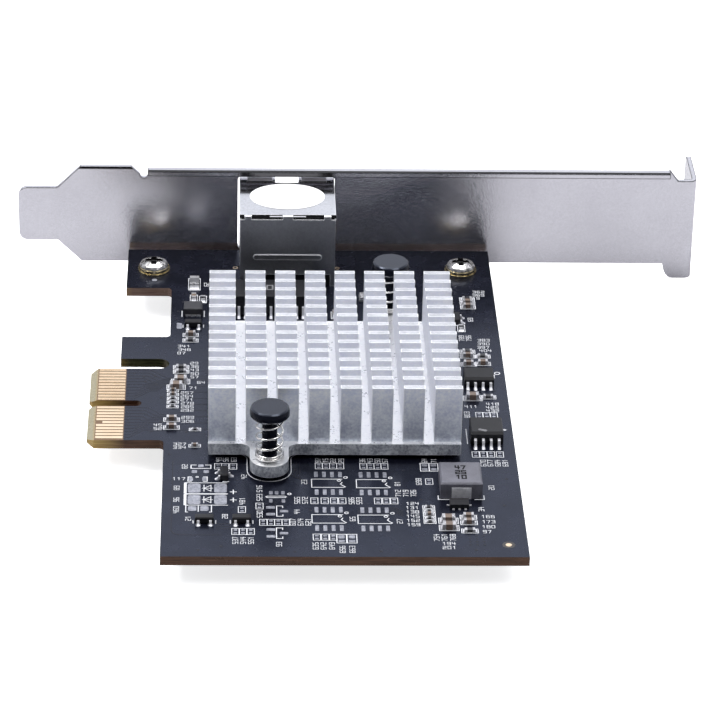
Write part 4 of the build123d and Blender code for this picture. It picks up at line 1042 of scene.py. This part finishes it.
for low, high in islands("jack_contacts"):
    if low.z < BOARD_UNDER - 0.3:
        cone((low.x + high.x) / 2, (low.y + high.y) / 2, tail_radius, tail_drop)
shield_low, shield_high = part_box("jack_shield")
for x in (shield_low[0] / MM + leg_inset, shield_high[0] / MM - leg_inset):
    cone(x, leg_y, leg_radius, leg_drop, 20)
low_ink = Layer("under_print", "ink", "label_white", base=BOARD_UNDER, rise=-0.03)
low_pads = Layer("under_pads", "pad", "tin_plate", base=BOARD_UNDER, rise=-0.035)
for column in range(6):
    for row in range(4):
        chip_cell(31.0 + column * 3.4, -8.0 + row * 5.2, low_ink, low_pads)
for step in range(8):
    x = 20.0 + step * 5.8
    low_pads.disc(x, -44.0, 0.5, 20)
    low_ink.number(str(11 + step * 3), x, -46.2, 0.95)
low_relief = Layer("under_relief", "trace", "solder_mask", base=BOARD_UNDER, rise=-0.012)
for index in range(11):
    for side in (-1, 1):
        y = side * (1.5 + index)
        inner = y - side * 1.4
        shift = 0.3 * index
        low_relief.path([(6.0, y), (9.0 + shift, y), (11.5 + shift, inner), (26.0, inner)], BOLD_STROKE)
for index in range(10):
    near = 22.0 + index * 0.5
    far = 27.0 + index * 0.9
    low_relief.path([(near, 22.0), (near, 34.0), (far, 40.0), (far, 45.5)], 0.18)

# Marks on the moulded parts: dots and plain numbers, no names
marks = Layer("part_marks", "dim_ink", "label_white", base=0)
low, high = wide_box
marks.low = high.z
for x, y in ((low.x + 1.5, low.y + 1.0), (low.x + 1.9, low.y + 0.8), (low.x + 2.3, low.y + 0.65)):
    marks.disc(x, y, 0.32, 14)
low, high = islands("transformer_body")[0]
marks.low = high.z
marks.number("1010", (low.x + high.x) / 2, (low.y + high.y) / 2, 1.6, stroke=0.28)
dark = Layer("inductor_mark", "housing", "moulding_black", base=0)
low, high = islands("power_inductor_core")[0]
dark.low = high.z
for row, text in enumerate(("47", "25", "10")):
    dark.number(text, (low.x + high.x) / 2, high.y - 1.9 - row * 1.5, 1.0, stroke=0.24)

# Inner tabs that show in the slots along the shield's rear fold
housing_low, housing_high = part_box("jack_housing")
tabs = Layer("fold_tabs", "lead", "shield_metal", base=housing_high[2] / MM, rise=0.09)
jack_mid = (shield_low[0] + shield_high[0]) / 2 / MM
tab_y = housing_low[1] / MM + fold_tab_back
for side in (-1, 1):
    tabs.rect(jack_mid + side * fold_tab_out, tab_y, fold_tab_width, fold_tab_depth)

for layer in (ink, pads, gold, clearing, relief, solder, under, low_ink, low_pads, low_relief, marks, dark,
              tabs):
    layer.build()


# Camera at the photograph's place

def camera():
    """Camera with the fitted place, turn and lens."""
    elevation = math.radians(28.528)
    yaw = math.radians(-2.424)
    roll = math.radians(1.363)
    distance = 601.397
    aim = Vector((44.448, 1.332, BOARD_TOP))
    reach = math.cos(elevation)
    back = Vector((math.sin(yaw) * reach, -math.cos(yaw) * reach, math.sin(elevation)))
    side = (-back).cross(Vector((0, 0, 1))).normalized()
    up = side.cross(-back)
    across = side * math.cos(roll) + up * math.sin(roll)
    above = -side * math.sin(roll) + up * math.cos(roll)
    data = bpy.data.cameras.new("camera")
    data.sensor_width = 36.0
    data.lens = 182.82
    data.shift_y = 0.0557
    data.clip_start = 0.01
    data.clip_end = 20.0
    made = bpy.data.objects.new("camera", data)
    place = (aim + back * distance) * MM
    turn = Matrix((across, above, back)).transposed().to_4x4()
    made.matrix_world = Matrix.Translation(place) @ turn
    scene.collection.objects.link(made)
    scene.camera = made


camera()


# Plain floor, white world and soft lamps

def floor():
    """Plain white floor under the lowest point."""
    bpy.ops.mesh.primitive_plane_add(size=4.0, location=(0.045, 0.0, -0.00505))
    made = bpy.context.object
    made.name = "floor"
    material = bpy.data.materials.new("floor_white")
    material.use_nodes = True
    tree = material.node_tree
    tree.nodes.clear()
    out = tree.nodes.new("ShaderNodeOutputMaterial")
    diffuse = tree.nodes.new("ShaderNodeBsdfDiffuse")
    path = tree.nodes.new("ShaderNodeLightPath")
    tone = blend(tree, path.outputs["Is Camera Ray"], (0.50, 0.50, 0.515), (0.93, 0.93, 0.93))
    tree.links.new(tone, diffuse.inputs[0])
    glow = tree.nodes.new("ShaderNodeEmission")
    tree.links.new(blend(tree, path.outputs["Is Camera Ray"], (0, 0, 0), (0.75, 0.75, 0.75)), glow.inputs[0])
    both = tree.nodes.new("ShaderNodeAddShader")
    tree.links.new(diffuse.outputs[0], both.inputs[0])
    tree.links.new(glow.outputs[0], both.inputs[1])
    tree.links.new(both.outputs[0], out.inputs[0])
    made.data.materials.append(material)


floor()


def world():
    """White to the camera, a soft studio gradient to everything else."""
    made = bpy.data.worlds.new("studio")
    scene.world = made
    made.use_nodes = True
    tree = made.node_tree
    tree.nodes.clear()
    out = tree.nodes.new("ShaderNodeOutputWorld")
    source = tree.nodes.new("ShaderNodeTexCoord")
    split = tree.nodes.new("ShaderNodeSeparateXYZ")
    tree.links.new(source.outputs["Generated"], split.inputs[0])
    height = rises(tree, split.outputs[2], 0.5, 0.9)
    away = rises(tree, split.outputs[1], -0.35, 0.45)
    level = blend(tree, away, (0.06, 0.06, 0.065), (0.92, 0.95, 1.02))
    colour = blend(tree, height, level, (0.66, 0.67, 0.70))
    studio = tree.nodes.new("ShaderNodeBackground")
    tree.links.new(colour, studio.inputs[0])
    white = tree.nodes.new("ShaderNodeBackground")
    white.inputs[0].default_value = (1, 1, 1, 1)
    path = tree.nodes.new("ShaderNodeLightPath")
    mix = tree.nodes.new("ShaderNodeMixShader")
    tree.links.new(path.outputs["Is Camera Ray"], mix.inputs[0])
    tree.links.new(studio.outputs[0], mix.inputs[1])
    tree.links.new(white.outputs[0], mix.inputs[2])
    tree.links.new(mix.outputs[0], out.inputs[0])


world()


def lamp(name, place, aim, size, power):
    """Soft square lamp that looks at a point."""
    data = bpy.data.lights.new(name, "AREA")
    data.size = size
    data.energy = power
    made = bpy.data.objects.new(name, data)
    made.location = place
    made.rotation_mode = "QUATERNION"
    made.rotation_quaternion = (Vector(aim) - Vector(place)).to_track_quat("-Z", "Y")
    scene.collection.objects.link(made)


lamp("key", (-0.40, 0.05, 0.80), (0.04, 0.0, 0.0), 0.4, 6.0)
lamp("fill", (0.45, -0.35, 0.80), (0.04, 0.0, 0.0), 0.5, 3.0)
lamp("top", (0.05, 0.35, 0.85), (0.04, 0.0, 0.0), 0.6, 5.0)

scene.view_settings.view_transform = "Standard"
